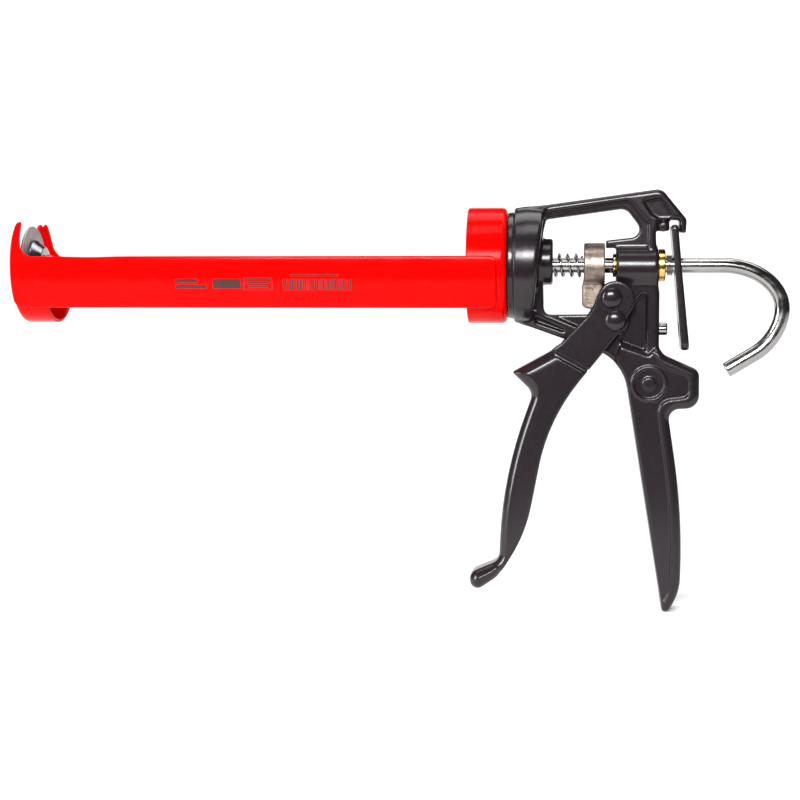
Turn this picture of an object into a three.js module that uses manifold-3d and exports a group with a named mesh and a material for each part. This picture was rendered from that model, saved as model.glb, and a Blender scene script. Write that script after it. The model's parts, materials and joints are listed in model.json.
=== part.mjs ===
// A caulking gun with a swivelling half-open cradle, a die-cast body and a lever-driven push rod.
// Units are millimetres. X runs along the rod towards its hook, Z is up and Y goes across.
// Inside the gun's group X = 0 is the joint of cradle and casting, and the rod's axis is Y = Z = 0.
import * as THREE from "three";
import { mergeVertices } from "three/addons/utils/BufferGeometryUtils.js";
import Module from "manifold-3d";

const wasm = await Module();
wasm.setup();

// Driving sizes.
const CLEAR = 0.3; // play between neighbouring pieces
const SHEET = 1.5; // steel sheet of the cradle
const CRADLE_LENGTH = 230; // front plate's outer face to the casting
const CUP_RADIUS = 26.75; // outer radius of both cradle cups
const REAR_CUP_DEPTH = 18.4;
const FRONT_CUP_DEPTH = 16;
const CUP_CORNER = 2.6; // outer rounding of a cup's bottom
const RAIL_TOP = 4.2; // height of a rail's upper edge
const RAIL_BOTTOM = -19.3;
const HORN_TOP = 20.2; // height of the horns beside the nozzle slot
const SLOT_RADIUS = 10.5; // nozzle slot's round bottom
const SLOT_MOUTH = 17.5; // nozzle slot's half width between the horns
const ROD_RADIUS = 3.5;
const STUB_RADIUS = 2.9; // rod's thinned front end
const HOOK_START = 98; // where the rod's straight length ends
const HOOK_REACH = 27.3; // how far the hook's bend runs past that
const PUSHER_RADIUS = 18.8;
const PLATE = 1.6; // pusher plate's thickness
const HUB = { front: 12.2, back: 8.8, length: 5.4 }; // cone behind the plate
const BODY_HALF = 7.2; // half width of the casting's ribs
const WEB_HALF = 5; // half width of its thin panels
const GRIP_HALF = 8.2; // half width of the grip
const BORDER_HALF = 9.4; // half width of the grip's raised back edge
const GRIP_END = -159.5; // height of the grip's lower tip
const BULGE_RISE = 44.5; // from that tip up to where the grip's back is widest
const SPIGOT_RADIUS = 15; // turned neck the cradle swivels on
const BARREL_RADIUS = 10.15; // boss the rod runs through
const BARREL_FRONT = 49.7;
const BARREL_BACK = 68.7;
const BUSH_WALL = 1.25;
const PIVOT = { x: 49.1, z: -25 }; // trigger's hinge
const PIN_ARM = { x: -1.67, z: 10.35 }; // drive pin's place from the hinge
const PIN_RADIUS = 3;
const ROLLER_RADIUS = 3.7;
const EAR_INSIDE = 9; // trigger ears' inner faces
const EAR_WALL = 3;
const RIVET = { radius: 4.9, dome: 2.6 }; // its heads
const HANDLE_HALF = 10.8; // half width of the trigger's handle
const CHANNEL_HALF = 7.8; // half width of the hollow behind it
const DRIVER_RADIUS = 10.35;
const DRIVER_LENGTH = 9.6;
const TAIL_HALF = 6.6;
const SPRING_SEAT = 20.6; // back of the casting's spring boss
const SPRING_BOSS = { radius: 10.7, z: 1.7 };
const SPRING_WIRE = 1.1;
const SPRING_PLAY = 1.1; // between rod and main spring
const LEVER_SPRING_WIRE = 0.7;
const LEVER = { x: 75.9, z: 17.3, tilt: 5.4, thick: 3, half: 10, length: 56.4, foot: 4 };
const STUD = { x: 73.3, z: -29.2, radius: 2.95, shank: 9 };
const BADGE = { x: 64.9, z: -54.2, radius: 8, rim: 1.1, proud: 0.6 }; // raised ring on the grip
const GRIP_POINT = { x: 69, z: -105 }; // middle of the hand's hold, which becomes the origin
const FAR = 60; // reach of a cutting tool past the piece

// Sizes that follow from them.
const FRONT_FACE = -CRADLE_LENGTH;
const PUSHER_FACE = FRONT_FACE + SHEET + 0.8;
const BORE = ROD_RADIUS + 0.15;
const SLEEVE = BORE + BUSH_WALL;
const EAR_OUTSIDE = EAR_INSIDE + EAR_WALL;
const DRIVE = { x: PIVOT.x + PIN_ARM.x, z: PIVOT.z + PIN_ARM.z };
const ROLLER_FRONT = DRIVE.x - ROLLER_RADIUS;
const DRIVER_BACK = ROLLER_FRONT + 0.7;
const DRIVER_FRONT = DRIVER_BACK - DRIVER_LENGTH;
const RETAINER_FRONT = -5.5; // end of the spigot
const SHOULDER_SEAT = 1.1; // hub's floor, which the rod's shoulder bears on
const COLLAR_HOLE = ROD_RADIUS + CLEAR; // loose fit round the rod
const GROOVE = { x: RETAINER_FRONT + 0.9, deep: 1.7, wide: 1.5 }; // for the split ring
const COLLAR_RADIUS = CUP_RADIUS - 0.15;
const COLLAR_STEP = COLLAR_RADIUS - 1.8; // smaller radius next to the cradle
const BULGE = GRIP_END + BULGE_RISE;
const COLUMN_BACK = STUD.x - 3.8; // casting's back face, which the stud stands in
const NOTCH = { front: LEVER.x - 2.2, back: LEVER.x + 2 }; // the release lever hangs in it

// Finishes.
const enamel = { color: 0xe00808, roughness: 0.25, metalness: 0 };
const coat = { color: 0x2b2629, roughness: 0.45, metalness: 0.2 };
const zinc = { color: 0xb4b4b2, roughness: 0.25, metalness: 1 };
const steel = { color: 0x8b8680, roughness: 0.35, metalness: 1 };
const sintered = { color: 0x7d7266, roughness: 0.4, metalness: 0.9 };
const brass = { color: 0xc9a24a, roughness: 0.3, metalness: 1 };
const stamped = { color: 0x9a9ea2, roughness: 0.4, metalness: 0.8 };

// A closed geometry as a solid, turned the right way out.
function solid(geometry) {
  const bare = geometry.index ? geometry.toNonIndexed() : geometry;
  bare.deleteAttribute("normal");
  bare.deleteAttribute("uv");
  const merged = mergeVertices(bare, 1e-4);
  const vertProperties = new Float32Array(merged.attributes.position.array);
  const triVerts = new Uint32Array(merged.index.array);
  const made = new wasm.Manifold(new wasm.Mesh({ numProp: 3, vertProperties, triVerts }));
  if (made.volume() > 0) return made;
  for (let i = 0; i < triVerts.length; i += 3) {
    [triVerts[i + 1], triVerts[i + 2]] = [triVerts[i + 2], triVerts[i + 1]];
  }
  return new wasm.Manifold(new wasm.Mesh({ numProp: 3, vertProperties, triVerts }));
}

// A solid as a named mesh with its finish.
function piece(name, shape, finish) {
  const { vertProperties, triVerts, numProp } = shape.getMesh();
  const points = new Float32Array((vertProperties.length / numProp) * 3);
  for (let i = 0; i < points.length / 3; i++) {
    points.set(vertProperties.subarray(i * numProp, i * numProp + 3), i * 3);
  }
  const geometry = new THREE.BufferGeometry();
  geometry.setAttribute("position", new THREE.BufferAttribute(points, 3));
  geometry.setIndex(Array.from(triVerts));
  const mesh = new THREE.Mesh(geometry, new THREE.MeshStandardMaterial(finish));
  mesh.name = name;
  return mesh;
}

const join = (first, ...others) => others.reduce((whole, part) => whole.add(part), first);
const cut = (first, ...others) => others.reduce((whole, part) => whole.subtract(part), first);

// A polygon whose corners [x, z, radius] are rounded by arcs.
function rounded(corners) {
  const shape = new THREE.Shape();
  const count = corners.length;
  for (let i = 0; i < count; i++) {
    const at = new THREE.Vector2(corners[i][0], corners[i][1]);
    const before = corners[(i + count - 1) % count];
    const after = corners[(i + 1) % count];
    const inward = new THREE.Vector2(before[0], before[1]).sub(at).normalize();
    const outward = new THREE.Vector2(after[0], after[1]).sub(at).normalize();
    const radius = corners[i][2] || 0;
    const half = Math.acos(THREE.MathUtils.clamp(inward.dot(outward), -1, 1)) / 2;
    const reach = radius / Math.tan(half);
    const start = inward.clone().multiplyScalar(reach).add(at);
    if (i === 0) shape.moveTo(start.x, start.y);
    else shape.lineTo(start.x, start.y);
    if (radius > 0) {
      const middle = inward.clone().add(outward).setLength(radius / Math.sin(half)).add(at);
      const end = outward.clone().multiplyScalar(reach).add(at);
      const from = Math.atan2(start.y - middle.y, start.x - middle.x);
      const to = Math.atan2(end.y - middle.y, end.x - middle.x);
      const clockwise = inward.cross(outward) > 0;
      shape.absarc(middle.x, middle.y, radius, from, to, clockwise);
    }
  }
  return shape;
}

// Exact turns from a shape's own axes: drawn side-on, drawn end-on, and lathed about the rod.
const axis = (x, y, z) => new THREE.Vector3(x, y, z);
const basis = (...axes) => new THREE.Matrix4().makeBasis(...axes);
const SIDE_ON = basis(axis(1, 0, 0), axis(0, 0, 1), axis(0, -1, 0));
const END_ON = basis(axis(0, 1, 0), axis(0, 0, 1), axis(1, 0, 0));
const LATHED = basis(axis(0, -1, 0), axis(1, 0, 0), axis(0, 0, 1));

// A side outline in X and Z, from one Y to another.
function across(shape, low, high, curveSegments = 4) {
  const geometry = new THREE.ExtrudeGeometry(shape, {
    depth: high - low,
    bevelEnabled: false,
    curveSegments,
  });
  geometry.applyMatrix4(SIDE_ON);
  geometry.translate(0, high, 0);
  return solid(geometry);
}

const symmetric = (shape, half) => across(shape, -half, half);
const slab = (corners, half) => symmetric(rounded(corners), half);

// A cross-section in Y and Z, from one X to another.
function along(shape, low, high, curveSegments = 8) {
  const geometry = new THREE.ExtrudeGeometry(shape, {
    depth: high - low,
    bevelEnabled: false,
    curveSegments,
  });
  geometry.applyMatrix4(END_ON);
  geometry.translate(low, 0, 0);
  return solid(geometry);
}

// A profile of [radius, x] points turned about the rod's axis.
function turned(profile, segments = 36) {
  const points = profile.map(([radius, x]) => new THREE.Vector2(radius, x));
  const geometry = new THREE.LatheGeometry(points, segments);
  geometry.applyMatrix4(LATHED);
  return solid(geometry);
}

// A ring or, with no hole, a disc about the rod's axis.
function ring(outer, hole, low, high, segments = 36) {
  if (hole > 0) {
    return turned([[hole, low], [outer, low], [outer, high], [hole, high], [hole, low]], segments);
  }
  return turned([[0, low], [outer, low], [outer, high], [0, high]], segments);
}

// A round bar across the gun.
function crossbar(radius, x, z, low, high, segments = 24) {
  const geometry = new THREE.CylinderGeometry(radius, radius, high - low, segments);
  geometry.translate(x, (low + high) / 2, z);
  return solid(geometry);
}

// A drawn cup: bottom at x = floor, open towards the given side, with a rounded corner.
function cup(floor, side, depth, hole) {
  const outer = [];
  const inner = [];
  const inside = CUP_CORNER - SHEET;
  for (let i = 0; i <= 3; i++) {
    const angle = (i / 3) * (Math.PI / 2);
    const reach = CUP_RADIUS - CUP_CORNER;
    outer.push([reach + CUP_CORNER * Math.sin(angle), CUP_CORNER * (1 - Math.cos(angle))]);
    inner.push([reach + inside * Math.sin(angle), CUP_CORNER - inside * Math.cos(angle)]);
  }
  const profile = [[hole, 0], ...outer, [CUP_RADIUS, depth], [CUP_RADIUS - SHEET, depth]];
  profile.push(...inner.reverse(), [hole, SHEET]);
  if (hole > 0) profile.push([hole, 0]);
  return turned(profile.map(([radius, x]) => [radius, floor + side * x]), 48);
}

// Rear cup, with the hole that swivels on the spigot.
function rearCup() {
  return cup(-CLEAR / 2, -1, REAR_CUP_DEPTH - CLEAR / 2, SPIGOT_RADIUS + CLEAR);
}

// Front cup: nozzle plate with an upward slot, and the low wall that carries the cartridge's front.
function frontCup() {
  const whole = cup(FRONT_FACE, 1, FRONT_CUP_DEPTH, 0);
  const slot = new THREE.Shape();
  slot.moveTo(-SLOT_MOUTH, FAR);
  slot.lineTo(-SLOT_MOUTH, HORN_TOP);
  slot.lineTo(-SLOT_RADIUS, 0);
  slot.absarc(0, 0, SLOT_RADIUS, Math.PI, 2 * Math.PI, false);
  slot.lineTo(SLOT_MOUTH, HORN_TOP);
  slot.lineTo(SLOT_MOUTH, FAR);
  const nozzle = along(slot, FRONT_FACE - FAR, FRONT_FACE + FAR);
  const back = FRONT_FACE + CUP_CORNER;
  const wallTop = RAIL_TOP - 2;
  const upper = slab([[back, wallTop], [FAR, wallTop], [FAR, FAR], [back, FAR]], FAR);
  const level = slab([[FRONT_FACE - FAR, HORN_TOP], [0, HORN_TOP], [0, FAR], [FRONT_FACE - FAR, FAR]], FAR);
  return cut(whole, nozzle, upper, level);
}

// Side rail: a strip of a tube outside both cups, which flares up into a horn at the front.
function rail(side) {
  const inner = CUP_RADIUS + CLEAR;
  const tube = ring(inner + SHEET, inner, FRONT_FACE + 0.6, -4.5, 72);
  const front = FRONT_FACE - FAR;
  const horn = FRONT_FACE + 4.4;
  const flare = FRONT_FACE + 5.8;
  const outline = rounded([
    [front, HORN_TOP],
    [horn, HORN_TOP, 1],
    [flare, RAIL_TOP, 8],
    [-4.5, RAIL_TOP, 3],
    [-4.5, RAIL_BOTTOM, 3],
    [front, RAIL_BOTTOM],
  ]);
  const [low, high] = side < 0 ? [-FAR, -2] : [2, FAR];
  return tube.intersect(across(outline, low, high));
}

// Rounding of the grip's back: no more than a short grip has room for below the given height.
function bulgeRadius(top, most) {
  return Math.min(most, (top - BULGE) ** 2 / 8);
}

// Casting outline, without the openings. The grip's lower end follows GRIP_END.
function castingOutline() {
  return rounded([
    [4, COLLAR_RADIUS - 0.6],
    [70, 35, 5],
    [81.5, 21, 3],
    [81.2, 14.5, 0.8],
    [NOTCH.back, 15.1, 0.8],
    [NOTCH.back, 20.6, 1],
    [NOTCH.front, 20.6, 1],
    [NOTCH.front, 15.7, 0.6],
    [67.7, 15.7, 1],
    [BARREL_BACK, -9],
    [COLUMN_BACK, -12],
    [COLUMN_BACK, -40.3, 6],
    [87.5, -48.3, 4],
    [87.6, -65.2, 6],
    [73.2, -65.9, 5],
    [80.6, BULGE, bulgeRadius(-65.9, 300)],
    [79.7, GRIP_END + 9.5, 25],
    [74.6, GRIP_END, 2.6],
    [71.9, GRIP_END, 1.2],
    [53, -43.4, 22],
    [7, -27.3],
    [4, 1.1 - COLLAR_RADIUS],
  ]);
}

// Opening round the rod, spring and driver, with a bay below the barrel for the drive pin.
function windowOutline() {
  const bay = DRIVE.x + ROLLER_RADIUS + 3.6;
  return rounded([
    [17.4, 21.1, 1.5],
    [53.9, 26.1, 5],
    [63.4, 13.5, 4],
    [DRIVER_BACK + 0.45, 11.4, 0.6],
    [DRIVER_BACK + 0.45, 7.9, 0.4],
    [BARREL_FRONT, 7.9],
    [BARREL_FRONT, -11.6],
    [bay, -11.6, 1],
    [bay, PIVOT.z + 2.7, 2.5],
    [16.6, PIVOT.z + 2.3, 3.4],
    [15.6, 13],
  ]);
}

// The part of the casting that the grip takes, from the rib above it downwards.
function gripRegion() {
  return rounded([
    [51.5, -36.4, 1],
    [64.5, -40.9, 1],
    [STUD.x - 6, -38.5],
    [2 * FAR, -38.5],
    [2 * FAR, GRIP_END - FAR],
    [30, GRIP_END - FAR],
    [48, -50],
  ]);
}

// The grip's low panel inside the raised back border.
function panelOutline() {
  return rounded([
    [40, -30],
    [66.5, -39, 2],
    [72, -47, 4],
    [83.2, -50.6, 3],
    [83.2, -60.4, 3.5],
    [68.6, -62.3, 6],
    [75.8, BULGE, bulgeRadius(-62.3, 250)],
    [74.6, GRIP_END + 8, 8],
    [70.5, GRIP_END + 2],
    [40, GRIP_END],
  ]);
}

// A pocket of a given side outline, on both faces, down to the thin panel.
function pockets(corners) {
  const shape = rounded(corners);
  return across(shape, WEB_HALF, FAR).add(across(shape, -FAR, -WEB_HALF));
}

// Collar that carries the cradle: neck with a ring groove, step, drum and hollow back.
function collar() {
  const drum = turned([
    [0, RETAINER_FRONT],
    [SPIGOT_RADIUS - 0.6, RETAINER_FRONT],
    [SPIGOT_RADIUS, RETAINER_FRONT + 0.6],
    [SPIGOT_RADIUS, GROOVE.x],
    [SPIGOT_RADIUS - GROOVE.deep, GROOVE.x],
    [SPIGOT_RADIUS - GROOVE.deep, GROOVE.x + GROOVE.wide],
    [SPIGOT_RADIUS, GROOVE.x + GROOVE.wide],
    [SPIGOT_RADIUS, CLEAR / 2],
    [COLLAR_STEP, CLEAR / 2],
    [COLLAR_STEP, 2.7],
    [COLLAR_RADIUS - 0.7, 2.7],
    [COLLAR_RADIUS, 3.4],
    [COLLAR_RADIUS, 24],
    [0, 24],
  ], 48);
  const back = slab([[-FAR, -FAR], [8, -FAR], [20.4, FAR], [-FAR, FAR]], FAR);
  const hollow = ring(COLLAR_RADIUS - 3.2, SPIGOT_RADIUS - 1.5, 7, 30, 40);
  return drum.intersect(back).subtract(hollow);
}

// The die-cast frame: collar, arms, barrel and grip in one piece.
function casting() {
  const frame = across(castingOutline(), -BODY_HALF, BODY_HALF);
  const window = across(windowOutline(), -FAR, FAR);
  const recesses = join(
    pockets([[15.4, 24.6, 1], [54.8, 30, 2], [64.4, 19.6, 2], [64.4, 10.6, 1], [15.4, 10.6]]),
    pockets([[61.4, 29.4, 1.2], [69.8, 30.8, 1.5], [75.6, 21.3, 1.2], [68.8, 21.3, 1], [65.6, 23, 1.2]]),
    pockets([[68, 10], [73.9, 10], [73.9, 20.6], [68, 20.6, 1]]),
    pockets([[17.5, 4.6 - COLLAR_RADIUS, 1], [41, -32, 1], [44, -20], [17.5, -20]]),
    pockets([[12.5, -23.4, 0.8], [38, -34.6, 0.6], [12.5, -26, 0.8]]),
    pockets([[63.6, -10.5, 1.5], [63.6, -39.6, 1.5], [51.5, -35.2, 1.5], [56, -19, 1.5]]),
  );
  const gripped = (half) => across(castingOutline(), -half, half).intersect(symmetric(gripRegion(), FAR));
  const grip = gripped(GRIP_HALF);
  const border = gripped(BORDER_HALF).subtract(across(panelOutline(), -FAR, FAR));
  const badgeHalf = GRIP_HALF + BADGE.proud;
  const badge = crossbar(BADGE.radius, BADGE.x, BADGE.z, -badgeHalf, badgeHalf);
  const badgeHole = join(
    crossbar(BADGE.radius - BADGE.rim, BADGE.x, BADGE.z, GRIP_HALF, FAR),
    crossbar(BADGE.radius - BADGE.rim, BADGE.x, BADGE.z, -FAR, -GRIP_HALF),
  );
  const pivotBoss = crossbar(6.2, PIVOT.x, PIVOT.z, -EAR_INSIDE + 0.4, EAR_INSIDE - 0.4, 32);
  const lug = crossbar(2.4, 70.9, 17.9, -BODY_HALF + 0.6, BODY_HALF - 0.6);
  const barrelShape = new THREE.Shape().absarc(0, -1, BARREL_RADIUS, 0, 2 * Math.PI);
  const barrel = along(barrelShape, BARREL_FRONT, BARREL_BACK, 16);
  const bossShape = new THREE.Shape().absarc(0, SPRING_BOSS.z, SPRING_BOSS.radius, 0, 2 * Math.PI);
  const springBoss = along(bossShape, 10, SPRING_SEAT, 16);
  const sleeveHole = ring(SLEEVE + CLEAR, 0, BARREL_FRONT - 1, BARREL_BACK + FAR, 24);
  const rodHole = ring(COLLAR_HOLE + 0.5, 0, -FAR, BARREL_FRONT, 24);
  const pinHole = crossbar(PIN_RADIUS + CLEAR, PIVOT.x, PIVOT.z, -FAR, FAR);
  const studTurn = ring(STUD.radius + CLEAR, 0, COLUMN_BACK - STUD.shank, FAR + 40, 24);
  const studHole = studTurn.translate([0, 0, STUD.z]);
  const arms = cut(frame, window, recesses).add(grip).add(border).add(badge);
  const whole = join(arms.subtract(badgeHole), collar(), springBoss, barrel, pivotBoss, lug);
  return cut(whole, sleeveHole, rodHole, pinHole, studHole);
}

// Trigger's side outline, from the ears' lower part to the toe.
function triggerOutline() {
  return rounded([
    [PIVOT.x - 8.1, PIVOT.z + 11],
    [PIVOT.x - 10.9, PIVOT.z + 3.8, 25],
    [24.7, -35.6, 1.2],
    [19, -39.6, 5],
    [1.6, -49.2, 1],
    [11.6, -58.8, 5.5],
    [-2.3, -97.1, 200],
    [-3.9, -137, 5],
    [-18, -142, 5],
    [-15.9, -151.6, 3.5],
    [-4.2, -145.2, 12],
    [8.8, -124, 70],
    [19.1, -70.85, 90],
    [51.3, -30.5, 25],
    [PIVOT.x + 8.8, PIVOT.z + 7.5],
  ]);
}

// Hollow between the trigger's side walls, open towards the grip.
function channelOutline() {
  return rounded([
    [25.2, -10],
    [25.6, -37.2, 1],
    [21, -42.6, 4],
    [9.6, -49.4, 2],
    [15.3, -58.6, 6],
    [1.6, -96.8, 140],
    [1.2, -127, 3],
    [40, -127],
    [FAR + 20, -10],
  ]);
}

// Trigger: two ears on the hinge, and a channel-shaped handle below a step line.
function trigger() {
  const head = { x: PIVOT.x + 0.4, z: PIVOT.z + 9.3, radius: 8.6 };
  const crown = crossbar(head.radius, head.x, head.z, -EAR_OUTSIDE, EAR_OUTSIDE, 32);
  const outline = triggerOutline();
  const full = symmetric(outline, EAR_OUTSIDE).add(crown);
  const above = slab([[20.5, -39.2], [36, -47.6], [80, -30], [80, 20], [-10, 20], [-10, -30]], FAR);
  const ears = full.intersect(above);
  const handle = symmetric(outline, HANDLE_HALF).subtract(above);
  const wide = across(channelOutline(), -EAR_INSIDE, EAR_INSIDE).intersect(above);
  const between = crossbar(head.radius + 1, head.x, head.z, -EAR_INSIDE, EAR_INSIDE, 32);
  const narrow = across(channelOutline(), -CHANNEL_HALF, CHANNEL_HALF);
  const pins = [PIVOT, DRIVE].map(({ x, z }) => crossbar(PIN_RADIUS + CLEAR, x, z, -FAR, FAR));
  return cut(ears.add(handle), wide, between, narrow, ...pins);
}

// Domed rivet through both ears.
function rivet({ x, z }) {
  const end = EAR_OUTSIDE + CLEAR + RIVET.dome;
  const points = [new THREE.Vector2(0, -end)];
  for (let i = 1; i <= 4; i++) {
    const angle = (i / 4) * (Math.PI / 2);
    points.push(new THREE.Vector2(RIVET.radius * Math.sin(angle), RIVET.dome * (1 - Math.cos(angle)) - end));
  }
  points.push(new THREE.Vector2(PIN_RADIUS, -EAR_OUTSIDE - CLEAR));
  const mirrored = points.map((p) => new THREE.Vector2(p.x, -p.y)).reverse();
  const geometry = new THREE.LatheGeometry([...points, ...mirrored], 20);
  geometry.translate(x, 0, z);
  return solid(geometry);
}

// Roller on the drive pin, between the ears.
function roller() {
  const half = TAIL_HALF;
  const bar = crossbar(ROLLER_RADIUS, DRIVE.x, DRIVE.z, -half, half);
  return bar.subtract(crossbar(PIN_RADIUS + CLEAR, DRIVE.x, DRIVE.z, -FAR, FAR));
}

// Driver: a round block on the rod, with a tail that the roller pushes.
function driver() {
  const block = ring(DRIVER_RADIUS, 0, DRIVER_FRONT, DRIVER_BACK, 48);
  const back = ROLLER_FRONT - CLEAR;
  const front = DRIVER_FRONT - 0.8;
  const foot = PIVOT.z + 4.8;
  const tail = slab([
    [front + 1.8, -3],
    [front, -9.5, 2],
    [front, foot + 1, 2.4],
    [front + 4.5, foot, 2.4],
    [back, foot + 3.4, 1.5],
    [back, -3],
  ], TAIL_HALF);
  return cut(block.add(tail), ring(BORE + 0.15, 0, -FAR, FAR + 40, 32));
}

// A round wire wound about the rod's axis, with its end turns closer together by a share.
class Coil extends THREE.Curve {
  constructor(radius, low, high, turns, closing) {
    super();
    Object.assign(this, { radius, low, high, turns, closing });
  }

  getPoint(t, target = new THREE.Vector3()) {
    const angle = t * this.turns * 2 * Math.PI;
    const eased = t - (Math.sin(2 * Math.PI * t) / (2 * Math.PI)) * this.closing;
    const x = this.low + (this.high - this.low) * eased;
    return target.set(x, this.radius * Math.cos(angle), this.radius * Math.sin(angle));
  }
}

function spring(wire, play, low, high, turns, closing) {
  const radius = ROD_RADIUS + play + wire / 2;
  const start = low + wire / 2 + CLEAR;
  const end = high - wire / 2 - CLEAR;
  const section = new THREE.Shape().absarc(0, 0, wire / 2, 0, 2 * Math.PI);
  const path = new Coil(radius, start, end, turns, closing);
  const steps = Math.round(turns * 14);
  return solid(new THREE.ExtrudeGeometry(section, { steps, extrudePath: path, curveSegments: 3 }));
}

// Rod with its thinned front end and its pull hook.
function hookRod() {
  const shoulder = PUSHER_FACE + PLATE + CLEAR + SHOULDER_SEAT + CLEAR;
  const straight = ring(ROD_RADIUS, 0, shoulder, HOOK_START, 24);
  const stub = ring(STUB_RADIUS, 0, FRONT_FACE + 0.3, shoulder + 1, 20);
  const top = new THREE.Vector3(HOOK_START, 0, 0);
  const side = new THREE.Vector3(HOOK_START + HOOK_REACH, 0, -20);
  const low = new THREE.Vector3(HOOK_START + 15.5, 0, -40.2);
  const back = new THREE.Vector3(-0.854, 0, -0.52);
  const path = new THREE.CurvePath();
  path.add(new THREE.LineCurve3(new THREE.Vector3(HOOK_START - 2, 0, 0), top));
  path.add(new THREE.CubicBezierCurve3(
    top,
    new THREE.Vector3(HOOK_START + 0.553 * HOOK_REACH, 0, 0),
    new THREE.Vector3(side.x, 0, -8.95),
    side,
  ));
  path.add(new THREE.CubicBezierCurve3(
    side,
    new THREE.Vector3(side.x, 0, -28.2),
    low.clone().addScaledVector(back, -7),
    low,
  ));
  path.add(new THREE.LineCurve3(low, low.clone().addScaledVector(back, 14.3)));
  const section = new THREE.Shape().absarc(0, 0, ROD_RADIUS, 0, 2 * Math.PI);
  const bend = solid(new THREE.ExtrudeGeometry(section, {
    steps: 30,
    extrudePath: path,
    curveSegments: 8,
  }));
  return join(straight, stub, bend);
}

// Pusher: a flat plate that bears on the cartridge's piston, and a conical hub behind it.
function pusherPlate() {
  return ring(PUSHER_RADIUS, STUB_RADIUS + CLEAR, PUSHER_FACE, PUSHER_FACE + PLATE, 48);
}

function pusherHub() {
  const floor = PUSHER_FACE + PLATE + CLEAR;
  return turned([
    [STUB_RADIUS + CLEAR, floor],
    [HUB.front, floor],
    [HUB.front, floor + 0.8],
    [HUB.back, floor + HUB.length - 0.4],
    [HUB.back - 0.5, floor + HUB.length],
    [COLLAR_HOLE, floor + HUB.length],
    [COLLAR_HOLE, floor + SHOULDER_SEAT],
    [STUB_RADIUS + CLEAR, floor + SHOULDER_SEAT],
    [STUB_RADIUS + CLEAR, floor],
  ]);
}

// Release lever: a plate hung in the nose's notch, with the rod through its upper hole.
function leverPlate() {
  const { half, length, thick, foot } = LEVER;
  const shape = rounded([[-half, 1.2, 2], [half, 1.2, 2], [half, -length, foot], [-half, -length, foot]]);
  const plate = along(shape, -thick / 2, thick / 2);
  const rodHole = ring(ROD_RADIUS + 0.75, 0, -FAR, FAR, 32).translate([0, 0, -LEVER.z]);
  const studHole = ring(STUD.radius + 0.45, 0, -FAR, FAR, 24).translate([0, 0, STUD.z - LEVER.z]);
  return cut(plate, rodHole, studHole);
}

// Guide bush: a flange outside the barrel's end and a sleeve inside it.
function bush(flange, sleeveEnd, face, side, width) {
  const outerFace = face + side * (CLEAR + width);
  return turned([
    [BORE, outerFace],
    [flange - 0.5, outerFace],
    [flange, outerFace - side * 0.5],
    [flange, face + side * CLEAR],
    [SLEEVE, face + side * CLEAR],
    [SLEEVE, sleeveEnd],
    [BORE, sleeveEnd],
    [BORE, outerFace],
  ], 24);
}

// Split ring in the spigot's groove.
function retainingRing() {
  const low = GROOVE.x + CLEAR / 2;
  const inner = SPIGOT_RADIUS - GROOVE.deep + CLEAR;
  const whole = ring(SPIGOT_RADIUS + 2.6, inner, low, low + GROOVE.wide - CLEAR);
  const gap = new THREE.BoxGeometry(10, 5, 20).translate(low, 0, SPIGOT_RADIUS + 6);
  return whole.subtract(solid(gap));
}

function swivelWasher() {
  const low = GROOVE.x + GROOVE.wide;
  const high = -SHEET - CLEAR / 2 - 0.25;
  return ring(SPIGOT_RADIUS + 5, SPIGOT_RADIUS + CLEAR, low, high);
}

function stopStud() {
  const low = COLUMN_BACK - STUD.shank + CLEAR;
  const end = STUD.x;
  return turned([
    [0, low],
    [STUD.radius, low],
    [STUD.radius, end - 0.5],
    [STUD.radius - 0.5, end],
    [0, end],
  ], 24).translate([0, 0, STUD.z]);
}

const nutFront = FRONT_FACE + 0.3;
const hubEnd = PUSHER_FACE + PLATE + CLEAR + HUB.length;
const rearBushFace = BARREL_BACK + CLEAR + 3;

const gun = new THREE.Group();
gun.add(
  piece("frame_casting", casting(), coat),
  piece("front_bush", bush(SLEEVE + 0.45, BARREL_FRONT + 8, BARREL_FRONT, -1, 1.4), brass),
  piece("rear_bush", bush(SLEEVE + 2.6, BARREL_BACK - 8, BARREL_BACK, 1, 3), brass),
  piece("stop_stud", stopStud(), zinc),
  piece("swivel_washer", swivelWasher(), steel),
  piece("retaining_ring", retainingRing(), steel),
  piece("rear_cup", rearCup(), enamel),
  piece("front_cup", frontCup(), enamel),
  piece("left_rail", rail(-1), enamel),
  piece("right_rail", rail(1), enamel),
  piece("trigger_handle", trigger(), coat),
  piece("pivot_pin", rivet(PIVOT), coat),
  piece("drive_pin", rivet(DRIVE), coat),
  piece("drive_roller", roller(), steel),
  piece("driver_block", driver(), sintered),
  piece("main_spring", spring(SPRING_WIRE, SPRING_PLAY, SPRING_SEAT, DRIVER_FRONT, 3.6, 0.2), steel),
  piece("hook_rod", hookRod(), zinc),
  piece("pusher_plate", pusherPlate(), stamped),
  piece("pusher_hub", pusherHub(), stamped),
  piece("rod_nut", ring(6, STUB_RADIUS + CLEAR, nutFront, PUSHER_FACE - CLEAR / 2, 24), steel),
  piece("rod_collar", ring(5.2, COLLAR_HOLE, hubEnd + CLEAR, hubEnd + 2.5, 28), steel),
  piece("lever_spring", spring(LEVER_SPRING_WIRE, 0.6, rearBushFace, LEVER.x, 3, 0), steel),
);

const lever = piece("release_lever", leverPlate(), coat);
lever.position.set(LEVER.x, 0, LEVER.z);
lever.rotation.y = THREE.MathUtils.degToRad(-LEVER.tilt);
gun.add(lever);

gun.position.set(-GRIP_POINT.x, 0, -GRIP_POINT.z);
const model = new THREE.Group();
model.add(gun);

export default model;
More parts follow.
